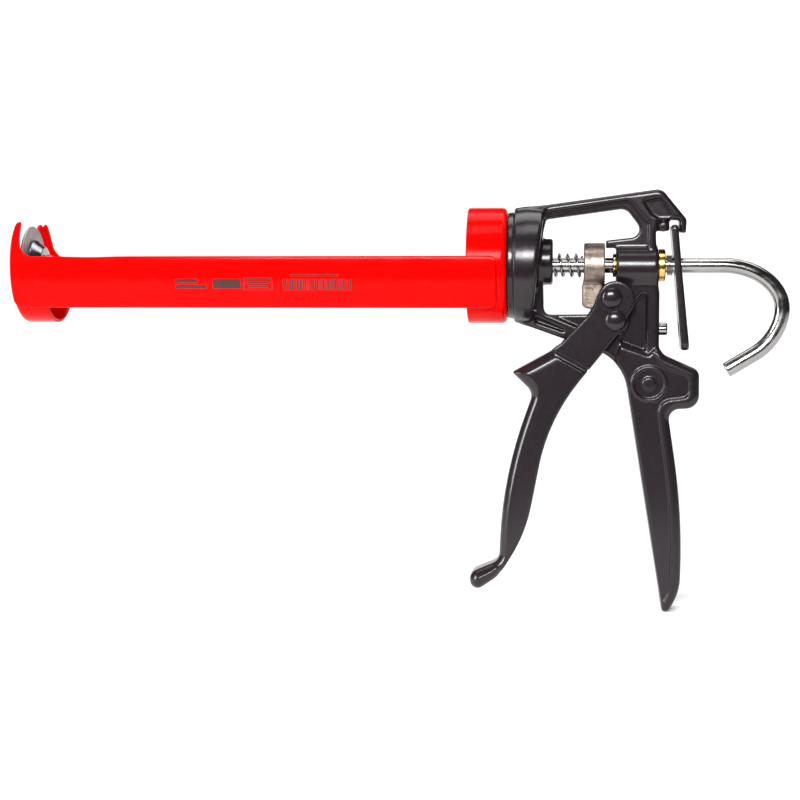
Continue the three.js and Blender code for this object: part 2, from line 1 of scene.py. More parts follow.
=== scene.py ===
"""Looks of a caulking gun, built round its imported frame.

Shapes are worked out in millimetres in the rod's own axes: X runs along the rod towards its hook, with
X = 0 where the cradle meets the casting, Z is up, Y goes across, and the rod's axis is Y = Z = 0.
"""

import json
import math

import bpy
import numpy as np
from bpy.props import FloatProperty, FloatVectorProperty, PointerProperty
from bpy.types import Operator, Panel, PropertyGroup
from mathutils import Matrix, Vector

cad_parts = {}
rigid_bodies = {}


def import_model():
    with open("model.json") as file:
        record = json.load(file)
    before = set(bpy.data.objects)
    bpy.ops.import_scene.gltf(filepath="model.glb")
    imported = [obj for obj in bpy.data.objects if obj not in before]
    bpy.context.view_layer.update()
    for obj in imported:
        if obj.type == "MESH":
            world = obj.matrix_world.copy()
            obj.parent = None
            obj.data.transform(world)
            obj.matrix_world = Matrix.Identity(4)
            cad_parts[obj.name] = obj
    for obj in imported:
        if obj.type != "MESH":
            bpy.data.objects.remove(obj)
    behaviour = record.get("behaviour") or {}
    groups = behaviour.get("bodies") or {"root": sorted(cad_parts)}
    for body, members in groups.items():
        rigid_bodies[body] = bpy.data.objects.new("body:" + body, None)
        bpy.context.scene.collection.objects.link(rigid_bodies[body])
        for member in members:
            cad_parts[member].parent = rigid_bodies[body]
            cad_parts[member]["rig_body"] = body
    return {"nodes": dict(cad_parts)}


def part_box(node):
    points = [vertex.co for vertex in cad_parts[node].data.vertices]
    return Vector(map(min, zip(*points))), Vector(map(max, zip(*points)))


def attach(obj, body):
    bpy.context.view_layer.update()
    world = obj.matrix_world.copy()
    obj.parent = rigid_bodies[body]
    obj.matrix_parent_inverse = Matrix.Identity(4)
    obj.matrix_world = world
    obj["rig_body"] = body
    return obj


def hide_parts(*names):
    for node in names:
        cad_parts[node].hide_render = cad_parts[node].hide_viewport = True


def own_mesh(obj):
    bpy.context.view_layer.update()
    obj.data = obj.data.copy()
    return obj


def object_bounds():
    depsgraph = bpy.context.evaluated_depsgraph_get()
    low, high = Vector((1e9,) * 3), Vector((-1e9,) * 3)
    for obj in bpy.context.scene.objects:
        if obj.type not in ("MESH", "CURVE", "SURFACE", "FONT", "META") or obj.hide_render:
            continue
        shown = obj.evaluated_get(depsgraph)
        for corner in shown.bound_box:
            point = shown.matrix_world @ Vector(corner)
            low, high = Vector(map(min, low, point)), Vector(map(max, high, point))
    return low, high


bl_info = {
    "name": "Caulking gun",
    "version": (1, 0, 0),
    "blender": (4, 5, 0),
    "location": "View3D > Sidebar > Caulking gun",
    "description": "Detailed pieces and finishes for a packed caulking gun",
    "category": "Object",
}

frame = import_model()
CAD_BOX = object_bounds()
CUP_LOW, CUP_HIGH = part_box("rear_cup")

MM = 0.001
PLAY = 0.3  # between neighbouring pieces
ORIGIN = np.array([CUP_HIGH.x / MM + PLAY / 2, 0.0, (CUP_LOW.z + CUP_HIGH.z) / 2 / MM])
CUP_RADIUS = (CUP_HIGH.z - CUP_LOW.z) / 2 / MM

# Places in the side view, (x, z) or x alone, that several pieces share.
FRONT_FACE = -230.0
PUSHER_FACE = FRONT_FACE + 2.3
RAIL_REAR = -4.5
RAIL_TOP, RAIL_BOTTOM, HORN_TOP = 4.2, -19.3, 20.2
PIVOT = (49.1, -25.0)
DRIVE = (47.43, -14.65)
DRIVER_FRONT, DRIVER_BACK = 34.83, 44.43
BARREL_FRONT, BARREL_BACK = 49.7, 68.7
LEVER_TOP = (75.9, 17.3)
LEVER_TILT = math.radians(5.4)
STUD = (73.3, -29.2)
BADGE = (64.9, -54.2)

# The push rod's hook: where its bend starts and reaches furthest back, then its straight end.
HOOK_START, HOOK_FAR = 98.0, 98.0 + 27.3
HOOK_LOW = np.array([113.5, -40.2])
HOOK_AIM = np.array([-0.854, -0.52])
HOOK_END = 15.4

# Half widths across the gun.
BODY_HALF, WEB_HALF, GRIP_HALF, BORDER_HALF = 7.2, 4.4, 8.2, 9.4
HANDLE_HALF, EAR_STEP, EAR_INSIDE, CHANNEL_HALF = 10.8, 1.3, 9.0, 7.8
TAIL_HALF = 6.6

# Radii.
BARREL_RADIUS, BOSS_RADIUS, DRIVER_RADIUS = 10.15, 10.7, 10.35
PIN_HOLE, ROD_HOLE = 3.3, 3.8
RIVET_HEAD, RIVET_DOME = 4.9, 2.6
CUP_CORNER, SLOT_RADIUS, SLOT_MOUTH = 2.6, 10.5, 16.4
REAR_CUP_DEPTH, FRONT_CUP_DEPTH = 18.4, 16.0


def node_x(name):
    """Lowest and highest X of a CAD node, in the rod's axes."""
    low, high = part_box(name)
    return low.x / MM - ORIGIN[0], high.x / MM - ORIGIN[0]


def chosen(name):
    """One of the panel's sizes, in millimetres."""
    return getattr(bpy.context.scene.gun_sizes, name) / MM


# ---------------------------------------------------------------- outlines and distances


def rounded(corners, steps=9):
    """Polygon points where each corner (a, b, radius) becomes an arc tangent to its two sides: the arc's
    centre lies on the corner's bisector, radius / sin(half angle) away."""
    table = np.array([tuple(c) + (0.0,) * (3 - len(c)) for c in corners], float)
    at, radius = table[:, :2], table[:, 2]
    inward = np.roll(at, 1, 0) - at
    outward = np.roll(at, -1, 0) - at
    inward /= np.linalg.norm(inward, axis=1)[:, None]
    outward /= np.linalg.norm(outward, axis=1)[:, None]
    half = np.arccos(np.clip((inward * outward).sum(1), -1, 1)) / 2
    middle = inward + outward
    middle /= np.linalg.norm(middle, axis=1)[:, None]
    centre = at + middle * (radius / np.sin(half))[:, None]
    start = at + inward * (radius / np.tan(half))[:, None]
    end = at + outward * (radius / np.tan(half))[:, None]
    a0 = np.arctan2(*(start - centre).T[::-1])
    a1 = np.arctan2(*(end - centre).T[::-1])
    turn = (a1 - a0 + np.pi) % (2 * np.pi) - np.pi
    angle = a0[:, None] + turn[:, None] * np.linspace(0, 1, steps)[None, :]
    arc = np.stack([np.cos(angle), np.sin(angle)], 2) * radius[:, None, None] + centre[:, None]
    keep = np.ones((len(table), steps), bool)
    keep[radius == 0, 1:] = False
    return arc[keep]


def distance(polygon, a, b):
    """Signed distance of the points (a, b) to a closed polygon, negative inside: the nearest of all its
    sides, with a sign from how many sides a ray crosses."""
    a, b = np.broadcast_arrays(np.asarray(a, np.float32), np.asarray(b, np.float32))
    best = np.full(a.shape, 1e9, np.float32)
    inside = np.zeros(a.shape, bool)
    for (a0, b0), (a1, b1) in zip(polygon, np.roll(polygon, -1, 0)):
        da, db = a1 - a0, b1 - b0
        size = da * da + db * db
        if size < 1e-12:
            continue
        share = np.clip(((a - a0) * da + (b - b0) * db) / size, 0, 1)
        best = np.minimum(best, (a - a0 - share * da) ** 2 + (b - b0 - share * db) ** 2)
        if b0 != b1:
            inside ^= ((b0 > b) != (b1 > b)) & (a < da * (b - b0) / (b1 - b0) + a0)
    return np.where(inside, -1, 1).astype(np.float32) * np.sqrt(best)


def both(p, q, blend):
    """Where both solids are: the larger distance, with a fillet of about blend where they meet."""
    h = np.maximum(blend - np.abs(p - q), 0) / blend
    return np.maximum(p, q) + h * h * blend / 4


def either(p, q, blend):
    """Where either solid is: the smaller distance, with a fillet of about blend where they meet."""
    return -both(-p, -q, blend)


def plate(outline, across, half, edge):
    """Distance to a flat plate of a given outline distance and half thickness, its rims rounded by edge."""
    u = outline + edge
    v = np.abs(across) - half + edge
    outside = np.sqrt(np.maximum(u, 0) ** 2 + np.maximum(v, 0) ** 2)
    return np.minimum(np.maximum(u, v), 0) + outside - edge


# ---------------------------------------------------------------- meshes


def mesh_object(name, points, faces, node, material, extra=()):
    """A finished piece: points in the rod's axes become metres in the frame, faces are arrays of vertex numbers,
    and the object rides with its CAD node's body."""
    mesh = bpy.data.meshes.new(name)
    co = ((points + ORIGIN) * MM).astype(np.float32)
    mesh.vertices.add(len(co))
    mesh.vertices.foreach_set("co", co.ravel())
    loops = np.concatenate([f.ravel() for f in faces]).astype(np.int32)
    sizes = np.concatenate([np.full(len(f), f.shape[1]) for f in faces])
    starts = np.concatenate([[0], np.cumsum(sizes)[:-1]]).astype(np.int32)
    mesh.loops.add(len(loops))
    mesh.loops.foreach_set("vertex_index", loops)
    mesh.polygons.add(len(sizes))
    mesh.polygons.foreach_set("loop_start", starts)
    mesh.update(calc_edges=True)
    mesh.shade_smooth()
    for label, values in extra:
        layer = mesh.uv_layers.new(name=label)
        layer.data.foreach_set("uv", values[loops].astype(np.float32).ravel())
    piece = bpy.data.objects.new(name, mesh)
    bpy.context.scene.collection.objects.link(piece)
    piece.data.materials.append(material)
    body = frame["nodes"][node]["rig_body"]
    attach(piece, body)
    return piece


def grid_faces(rows, columns, wrap_rows=False, wrap_columns=True):
    """Quads of a grid of points numbered row by row."""
    index = np.arange(rows * columns).reshape(rows, columns)
    if wrap_rows:
        index = np.vstack([index, index[:1]])
    if wrap_columns:
        index = np.hstack([index, index[:, :1]])
    return np.stack([index[:-1, :-1], index[:-1, 1:], index[1:, 1:], index[1:, :-1]], 2).reshape(-1, 4)


def fan(ring, tip, flip):
    """Triangles from a ring of vertex numbers to one tip."""
    after = np.roll(ring, -1)
    tips = np.full(len(ring), tip)
    order = [after, ring, tips] if flip else [ring, after, tips]
    return np.stack(order, 1)


def closed_tube(rows, columns):
    """Faces of a tube of rings numbered row by row, each end closed on a pole; the poles come last."""
    count = rows * columns
    return [
        grid_faces(rows, columns),
        fan(np.arange(columns), count, True),
        fan(np.arange(count - columns, count), count + 1, False),
    ]


def lathe(profile, segments=64, centre=(0.0, 0.0)):
    """A closed profile of (radius, x) points turned about a line along X: the grid's angle gives
    y = radius cos(angle), z = radius sin(angle). Points at radius 0 become single poles."""
    profile = np.asarray(profile, float)
    area = (profile[:, 0] * np.roll(profile[:, 1], -1) - np.roll(profile[:, 0], -1) * profile[:, 1]).sum()
    if area > 0:
        profile = profile[::-1]
    poles = profile[:, 0] < 1e-6
    angle = np.linspace(0, 2 * np.pi, segments, endpoint=False)
    if not poles.any():
        radius, x = profile[:, :1], profile[:, 1:]
        grid = np.stack([x + 0 * angle, radius * np.cos(angle), radius * np.sin(angle)], 2).reshape(-1, 3)
        faces = [grid_faces(len(profile), segments, wrap_rows=True)]
    else:
        first = int(np.flatnonzero(poles & ~np.roll(poles, -1))[0])
        order = np.roll(profile, -first, 0)
        ring = order[order[:, 0] >= 1e-6]
        radius, x = ring[:, :1], ring[:, 1:]
        grid = np.stack([x + 0 * angle, radius * np.cos(angle), radius * np.sin(angle)], 2).reshape(-1, 3)
        ends = np.array([[order[0, 1], 0, 0], [order[-1, 1], 0, 0]])
        faces = closed_tube(len(ring), segments)
        grid = np.vstack([grid, ends])
    return grid + np.array([0, centre[0], centre[1]]), faces


def tube(path, reference, radius, sides=24):
    """A round bar along a path of points: at each one the section's two axes are the reference direction,
    made square to the path, and their cross product. Both ends close on a pole."""
    path = np.asarray(path, float)
    radius = np.broadcast_to(radius, len(path))
    along = np.gradient(path, axis=0)
    along /= np.linalg.norm(along, axis=1)[:, None]
    u = reference - (reference * along).sum(1)[:, None] * along
    u /= np.linalg.norm(u, axis=1)[:, None]
    w = np.cross(along, u)
    angle = np.linspace(0, 2 * np.pi, sides, endpoint=False)
    spoke = u[:, None] * np.cos(angle)[None, :, None] + w[:, None] * np.sin(angle)[None, :, None]
    grid = (path[:, None] + radius[:, None, None] * spoke).reshape(-1, 3)
    return np.vstack([grid, path[:1], path[-1:]]), closed_tube(len(path), sides)


def crosswise(made, centre):
    """A lathed piece laid across the gun, its axis through a place (x, z) of the side view."""
    points, faces = made
    laid = np.stack([points[:, 1] + centre[0], points[:, 0], points[:, 2] + centre[1]], 1)
    return laid, [f[:, ::-1] for f in faces]


def level_set(field, low, high, pitch):
    """The surface where a distance field is 0, on a regular grid: each cell that the surface crosses gets
    one point, the mean of where it crosses the cell's edges, and each crossed edge gets one quad."""
    axes = [np.arange(a, b + pitch, pitch, dtype=np.float32) for a, b in zip(low, high)]
    value = field(axes[0][:, None, None], axes[1][None, :, None], axes[2][None, None, :])
    inside = value < 0
    stride = np.array([value.shape[1] * value.shape[2], value.shape[2], 1])
    quads, crossings = [], []
    for axis in range(3):
        u, v = (axis + 1) % 3, (axis + 2) % 3
        near = [slice(None)] * 3
        far = [slice(None)] * 3
        near[axis], far[axis] = slice(0, -1), slice(1, None)
        at = np.argwhere(inside[tuple(near)] != inside[tuple(far)])
        step = np.zeros(3, int)
        step[axis] = 1
        start = value[tuple(at.T)]
        end = value[tuple((at + step).T)]
        crossing = at.astype(float)
        crossing[:, axis] += start / (start - end)
        cell = at @ stride
        four = np.stack([cell, cell - stride[u], cell - stride[u] - stride[v], cell - stride[v]], 1)
        four[start > 0] = four[start > 0][:, ::-1]
        quads.append(four)
        crossings.append(crossing)
    quads = np.concatenate(quads)
    crossings = np.concatenate(crossings)
    cells, numbers = np.unique(quads, return_inverse=True)
    numbers = numbers.reshape(quads.shape)
    count = np.bincount(numbers.ravel(), minlength=len(cells))
    sums = [
        np.bincount(numbers.ravel(), np.repeat(crossings[:, i], 4), len(cells)) / count
        for i in range(3)
    ]
    points = np.stack(sums, 1) * pitch + np.array([a[0] for a in axes])
    return points, [numbers]


# ---------------------------------------------------------------- materials


class Shader:
    """A material whose pattern is worked out from the piece's own coordinates."""

    def __init__(self, name, colour, roughness, metallic=0.0, **sockets):
        self.material = bpy.data.materials.new(f"{name}_finish")
        self.material.use_nodes = True
        self.tree = self.material.node_tree
        self.surface = self.tree.nodes["Principled BSDF"]
        self.set("Base Color", (*colour, 1.0))
        self.set("Roughness", roughness)
        self.set("Metallic", metallic)
        for label, value in sockets.items():
            self.set(label.replace("_", " "), value)
        self.place = self.node("ShaderNodeTexCoord").outputs["Object"]

    def set(self, label, value):
        self.surface.inputs[label].default_value = value

    def node(self, kind, inputs=(), **settings):
        made = self.tree.nodes.new(kind)
        for label, value in settings.items():
            setattr(made, label, value)
        for label, value in dict(inputs).items():
            if isinstance(value, bpy.types.NodeSocket):
                self.tree.links.new(value, made.inputs[label])
            else:
                made.inputs[label].default_value = value
        return made

    def stretched(self, scale):
        """Coordinates scaled by a different amount along each axis."""
        made = self.node("ShaderNodeMapping", {"Vector": self.place, "Scale": scale})
        return made.outputs["Vector"]

    def noise(self, scale, detail=3.0, vector=None, roughness=0.5):
        wanted = {"Vector": vector or self.place, "Scale": scale, "Detail": detail, "Roughness": roughness}
        return self.node("ShaderNodeTexNoise", wanted).outputs["Fac"]

    def levels(self, value, low, high, to_low, to_high):
        wanted = {"Value": value, "From Min": low, "From Max": high, "To Min": to_low, "To Max": to_high}
        return self.node("ShaderNodeMapRange", wanted).outputs["Result"]

    def tint(self, value, first, second):
        """A colour between two, by a value from 0 to 1."""
        made = self.node("ShaderNodeMix", data_type="RGBA")
        self.tree.links.new(value, made.inputs[0])
        made.inputs[6].default_value = (*first, 1.0)
        made.inputs[7].default_value = (*second, 1.0)
        return made.outputs[2]

    def link(self, value, label):
        self.tree.links.new(value, self.surface.inputs[label])

    def shade(self, value, low, high, first, second):
        """Base colour from first to second while a value goes from low to high."""
        self.link(self.tint(self.levels(value, low, high, 0, 1), first, second), "Base Color")

    def gloss(self, value, low, high, first, second):
        """Roughness from first to second while a value goes from low to high."""
        self.link(self.levels(value, low, high, first, second), "Roughness")

    def bump(self, height, strength, depth):
        made = self.node("ShaderNodeBump", {"Height": height, "Strength": strength, "Distance": depth})
        self.link(made.outputs["Normal"], "Normal")


def scaled(colour, share):
    return tuple(min(1.0, c * share) for c in colour)


def enamel(colour):
    """Glossy baked enamel: nearly even red with a faint orange peel."""
    made = Shader("red_enamel", colour, 0.16, Specular_IOR_Level=0.04)
    made.shade(made.noise(22.0, 2.0), 0.3, 0.7, colour, scaled(colour, 0.9))
    made.gloss(made.noise(70.0, 3.0), 0.3, 0.7, 0.10, 0.2)
    made.bump(made.noise(480.0, 2.0), 0.06, 0.0004)
    return made.material


def coat(name, colour, roughness=0.22):
    """Satin powder coat: fine grain in height and gloss, and a slow drift of tone."""
    made = Shader(name, colour, roughness, Specular_IOR_Level=0.36)
    made.shade(made.noise(25.0, 2.0), 0.1, 0.9, scaled(colour, 1.2), scaled(colour, 0.8))
    made.gloss(made.noise(400.0, 3.0), 0.1, 0.9, roughness - 0.04, roughness + 0.04)
    made.bump(made.noise(1500.0, 2.0), 0.05, 0.0002)
    return made.material


def plated(name, colour, roughness=0.2, along=(1.0, 1.0, 1.0)):
    """Bright plated steel: fine drawn lines and slightly cloudy gloss."""
    made = Shader(name, colour, roughness, metallic=1.0)
    lines = made.noise(260.0, 4.0, made.stretched(along))
    made.shade(made.noise(60.0, 4.0), 0.35, 0.7, colour, scaled(colour, 0.78))
    made.gloss(lines, 0.3, 0.7, roughness - 0.07, roughness + 0.12)
    made.bump(lines, 0.12, 0.0002)
    return made.material


def sintered(colour):
    """Pressed and burnished steel: brownish mottling, small pores and rubbed streaks."""
    made = Shader("burnished_steel", colour, 0.38, metallic=0.9)
    made.shade(made.noise(170.0, 6.0, roughness=0.65), 0.36, 0.66, scaled(colour, 1.25), scaled(colour, 0.55))
    made.gloss(made.noise(420.0, 5.0), 0.3, 0.7, 0.26, 0.52)
    made.bump(made.noise(900.0, 5.0, made.stretched((0.35, 1.0, 1.0))), 0.25, 0.0003)
    return made.material


def ink(colour):
    """Screen-printed ink: matt, with a slightly uneven film."""
    made = Shader("print_ink", colour, 0.45)
    film = made.levels(made.noise(900.0, 3.0), 0.35, 0.65, 0, 1)
    made.link(made.tint(film, scaled(colour, 1.5), colour), "Base Color")
    made.bump(film, 0.05, 0.0001)
    return made.material


def stage_paper(colour):
    """Pale seamless paper: a faint, slow variation of tone."""
    made = Shader("stage_paper", colour, 0.9, Specular_IOR_Level=0.0, Emission_Strength=0.24)
    made.set("Emission Color", (*colour, 1.0))
    made.shade(made.noise(3.0, 2.0), 0.3, 0.7, colour, scaled(colour, 0.985))
    return made.material


def finish(name):
    """A finish made once and shared by every piece that has it."""
    known = bpy.data.materials.get(f"{name}_finish")
    if known:
        return known
    look = bpy.context.scene.gun_finishes
    makers = {
        "red_enamel": lambda: enamel(look.enamel),
        "black_coat": lambda: coat("black_coat", look.coat),
        "rivet_coat": lambda: coat("rivet_coat", scaled(look.coat, 1.15), 0.2),
        "zinc_plate": lambda: plated("zinc_plate", look.zinc, 0.17, (0.12, 1.0, 1.0)),
        "spring_steel": lambda: plated("spring_steel", look.spring, 0.24),
        "burnished_steel": lambda: sintered(look.burnished),
        "brass": lambda: plated("brass", look.brass, 0.2),
        "stamped_steel": lambda: plated("stamped_steel", look.stamped, 0.5),
        "turned_steel": lambda: plated("turned_steel", look.turned, 0.18),
        "print_ink": lambda: ink(look.ink),
        "stage_paper": lambda: stage_paper(look.paper),
    }
    return makers[name]()


# ---------------------------------------------------------------- shapes worked out as distances

# Side outlines of (x, z, corner radius), in the order that a pen would follow.
CASTING = [
    (4, 26), (70, 35, 5), (81.5, 21, 3), (81.2, 14.5, 0.8), (77.9, 15.1, 0.8), (77.9, 20.6, 1),
    (73.7, 20.6, 1), (73.7, 15.7, 0.6), (67.7, 15.7, 1), (68.7, -9), (69.5, -12), (69.5, -40.3, 6),
    (87.5, -48.3, 4), (87.6, -65.2, 6), (73.2, -65.9, 5), (80.6, -115, 300), (79.7, -150, 25),
    (74.6, -159.5, 2.6), (71.9, -159.5, 1.2), (53, -43.4, 22), (7, -27.3), (4, -25.5),
]
WINDOW = [
    (17.4, 21.1, 1.5), (53.9, 26.1, 5), (63.4, 13.5, 4), (44.88, 11.4, 0.6), (44.88, 7.9, 0.4),
    (49.7, 7.9), (49.7, -11.6), (54.73, -11.6, 1), (54.73, -22.3, 2.5), (16.6, -22.7, 3.4), (15.6, 13),
]
GRIP = [
    (51.5, -36.4, 1), (64.5, -40.9, 1), (67.3, -38.5), (120, -38.5), (120, -220), (30, -220), (48, -50),
]
PANEL = [
    (40, -30), (66.5, -39, 2), (72, -47, 4), (83.2, -50.6, 3), (83.2, -60.4, 3.5), (68.6, -62.3, 6),
    (75.8, -115, 250), (74.6, -151.5, 8), (70.5, -157.5), (40, -159.5),
]
POCKETS = [
    [(15.4, 24.0, 1), (54.8, 29.8, 2), (64.0, 19.4, 2), (64.0, 7, 1), (15.4, 7)],
    [(61.4, 29.4, 1.2), (69.8, 30.8, 1.5), (75.6, 21.3, 1.2), (68.8, 21.3, 1), (65.6, 23, 1.2)],
    [(68, 10), (73.9, 10), (73.9, 20.6), (68, 20.6, 1)],
    [(17.5, -22, 1), (41, -32, 1), (44, -20), (17.5, -20)],
    [(12.5, -23.4, 0.8), (38, -34.6, 0.6), (12.5, -26, 0.8)],
    [(63.6, -10.5, 1.5), (63.6, -39.6, 1.5), (51.5, -35.2, 1.5), (56, -19, 1.5)],
]
TRIGGER = [
    (41, -14), (38.2, -21.2, 25), (24.7, -35.6, 1.2), (19, -39.6, 5), (1.6, -49.2, 1),
    (11.6, -58.8, 5.5), (-2.3, -97.1, 200), (-3.9, -137, 5), (-18.2, -143.2, 5), (-16.3, -153.4, 3.8),
    (-4.2, -145.2, 12), (8.8, -124, 70), (19.1, -70.85, 90), (51.3, -30.5, 25), (57.9, -17.5),
]
CHANNEL = [
    (25.2, -10), (25.6, -37.2, 1), (21, -42.6, 4), (9.6, -49.4, 2), (15.3, -58.6, 6),
    (1.6, -96.8, 140), (1.2, -127, 3), (40, -127), (80, -10),
]
TAIL = [
    (35.8, -3), (34.03, -9.5, 2), (34.03, -19.2, 2.4), (38.5, -20.2, 2.4), (43.43, -16.8, 1.5), (43.43, -3),
]

# The collar's section with its neck, as (radius, x, corner radius), and the slanting cut behind it.
COLLAR = [
    (-1, -5.5), (14.4, -5.5), (15, -4.9), (15, -4.6), (13.3, -4.6), (13.3, -3.1), (15, -3.1),
    (15, 0.15), (24.6, 0.15, 0.4), (24.6, 2.9, 0.2), (26.2, 3.0, 0.8), (26.9, 8.5, 10), (26.1, 24), (-1, 24),
]
COLLAR_SLANT = np.array([120.0, -12.4]) / math.hypot(120.0, 12.4)
TRIGGER_STEP = np.array([8.4, 15.5]) / math.hypot(8.4, 15.5)


def away(x, z, centre):
    """Distance in the side view from a place (x, z)."""
    return np.hypot(x - centre[0], z - centre[1])


def round_bar(x, z, centre, radius, across, half, edge):
    """Distance to a round boss across the gun, its rims rounded by edge."""
    return plate(away(x, z, centre) - radius, across, half, edge)


def casting_field(x, y, z):
    """Distance to the die-cast frame: side outlines of several widths, the turned collar and the barrel,
    joined and hollowed with cast fillets."""
    edge, fillet = chosen("cast_edge"), chosen("cast_fillet")
    side = np.abs(y)
    radius = np.hypot(y, z)

    body = distance(rounded(CASTING), x, z)
    opened = both(body, -distance(rounded(WINDOW), x, z), 1.5)
    arms = both(plate(body, y, BODY_HALF, 2.3), plate(opened, y, BODY_HALF, edge), 0.3)
    for corners in POCKETS:
        hollow = both(distance(rounded(corners), x, z), WEB_HALF - side, 0.8)
        arms = both(arms, -hollow, fillet)
    gripped = both(body, distance(rounded(GRIP), x, z), 1.5)
    grip = plate(gripped, y, GRIP_HALF, 1.5)
    border = both(plate(gripped, y, BORDER_HALF, 3.2), -distance(rounded(PANEL), x, z), 0.6)
    whole = either(arms, either(grip, border, 0.7), fillet)

    behind = (x - 8) * COLLAR_SLANT[0] + (z + 60) * COLLAR_SLANT[1]
    drum = both(distance(rounded(COLLAR), radius, x), behind, 2.2)
    bowl = np.maximum(np.maximum(radius - 23.4, 13.5 - radius), 7 - x)
    whole = either(whole, both(drum, -bowl, 1.5), 2.2)
    boss = both(np.hypot(y, z - 1.7) - BOSS_RADIUS, np.abs(x - 15.3) - 5.3, 1.4)
    whole = either(whole, boss, 1.0)
    middle, half = (BARREL_FRONT + BARREL_BACK) / 2, (BARREL_BACK - BARREL_FRONT) / 2
    barrel = both(np.hypot(y, z + 1) - BARREL_RADIUS, np.abs(x - middle) - half, 1.4)
    whole = either(whole, barrel, 1.2)
    whole = either(whole, round_bar(x, z, PIVOT, 6.2, y, 8.6, 0.5), 0.6)
    whole = either(whole, round_bar(x, z, (70.9, 17.9), 2.4, y, 6.6, 1.4), 0.8)

    # The grip's raised ring, its dish and the plain button in it.
    across = away(x, z, BADGE)
    dish = both(across - 6.9, 7.6 - side, 0.4)
    whole = both(either(whole, both(across - 8.2, side - 9.0, 0.7), 0.4), -dish, 0.5)
    whole = either(whole, both(across - 3.0, side - 8.4, 0.8), 0.4)

    # Holes for the rod and its bushes, the hinge rivet and the stop stud.
    bore = np.where(x > BARREL_FRONT - 1, 5.2, 4.3)
    whole = both(whole, bore - radius, 0.5)
    whole = both(whole, PIN_HOLE - away(x, z, PIVOT), 0.4)
    stud = np.maximum(np.hypot(y, z - STUD[1]) - 3.25, 60.5 - x)
    return both(whole, -stud, 0.4)


def trigger_field(x, y, z):
    """Distance to the trigger: ears that end in a round head, a handle with a wide front rounding below a
    step, and a hollow open towards the grip."""
    outline = rounded(TRIGGER)
    head = away(x, z, (49.5, -15.7)) - 8.6
    side = np.abs(y)
    flat = either(distance(outline, x, z), head, 1.0)

    # Above the step the ears stand proud; a trench runs along its foot.
    above = (x - 20.5) * TRIGGER_STEP[0] + (z + 39.2) * TRIGGER_STEP[1]
    ears = plate(flat, y, 10.7 + EAR_STEP * np.clip(above / 0.6, 0, 1), 0.8)
    shifted = outline.copy()
    back_line = np.interp(outline[:, 1], [-140, -97, -59, -30], [0, 3, 17, 36])
    shifted[(outline[:, 1] > -140) & (outline[:, 0] > back_line), 0] += 24
    front = plate(distance(shifted, x, z), y, HANDLE_HALF, 6.4)
    handle = both(plate(distance(outline, x, z), y, HANDLE_HALF, 1.2), front, 0.8)
    whole = either(both(ears, -above, 0.9), both(handle, above, 0.9), 0.6)
    trench = both(np.abs(above + 0.7) - 0.85, 9.7 - side, 0.3)
    whole = both(whole, -trench, 0.3)

    hollow = distance(rounded(CHANNEL), x, z)
    wide = both(np.minimum(hollow, head - 1), side - EAR_INSIDE, 0.8)
    narrow = both(hollow, side - CHANNEL_HALF, 1.2)
    whole = both(whole, -np.maximum(wide, -above), 0.8)
    whole = both(whole, -narrow, 0.9)
    for hole in (PIVOT, DRIVE):
        whole = both(whole, PIN_HOLE - away(x, z, hole), 0.4)
    return whole


def driver_field(x, y, z):
    """Distance to the driver: a round block on the rod and a tail below it, hollowed round the rod."""
    radius = np.hypot(y, z)
    middle, half = (DRIVER_FRONT + DRIVER_BACK) / 2, (DRIVER_BACK - DRIVER_FRONT) / 2
    block = both(radius - DRIVER_RADIUS, np.abs(x - middle) - half, 0.6)
    tail = plate(distance(rounded(TAIL), x, z), y, TAIL_HALF, 0.5)
    return both(either(block, tail, 0.8), ROD_HOLE - radius, 0.5)


def front_cup_field(x, y, z):
    """Distance to the front cup: a pressed shell with an upward nozzle slot, its wall cut low behind."""
    sheet = chosen("sheet")
    inside = CUP_RADIUS - sheet
    shell = distance(rounded([
        (-1, 0), (CUP_RADIUS, 0, CUP_CORNER), (CUP_RADIUS, FRONT_CUP_DEPTH, 0.5),
        (inside, FRONT_CUP_DEPTH, 0.5), (inside, sheet, 1.1), (-1, sheet),
    ]), np.hypot(y, z), x - FRONT_FACE)
    turn = np.linspace(np.pi, 2 * np.pi, 25)
    slot = distance(np.vstack([
        [(-SLOT_MOUTH, 80), (-SLOT_MOUTH, HORN_TOP)],
        np.stack([SLOT_RADIUS * np.cos(turn), SLOT_RADIUS * np.sin(turn)], 1),
        [(SLOT_MOUTH, HORN_TOP), (SLOT_MOUTH, 80)],
    ]), y, z)
    whole = both(shell, -slot, 0.7)
    behind = both(FRONT_FACE + 2.6 - x, 2.2 - z, 2.0)
    whole = both(whole, -behind, 0.6)
    return both(whole, z - HORN_TOP, 0.3)


def lever_field(x, y, z):
    """Distance to the release lever, in its own upright plane: a plate with a round foot, a hole for the
    rod and one for the stop stud."""
    outline = distance(rounded([
        (-10, 1.2, 2), (10, 1.2, 2), (10, -56.4, 4), (-10, -56.4, 4),
    ], 17), y, z)
    for height, hole in ((0, 4.25), (STUD[1], 3.4)):
        outline = both(outline, hole - np.hypot(y, z + LEVER_TOP[1] - height), 0.4)
    half = 1.6 + 0.25 * np.clip((-z - 20) / 30, 0, 1)
    return plate(outline, x, half, 1.2)


# ---------------------------------------------------------------- operators


def build(name, made, node, slot, material=None, extra=()):
    """Adds a piece from (points, faces) and lets it stand for its CAD node. Its finish has the slot's name
    unless another is given."""
    points, faces = made
    piece = mesh_object(name, points, faces, node, finish(material or slot), extra)
    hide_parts(node)
    return piece


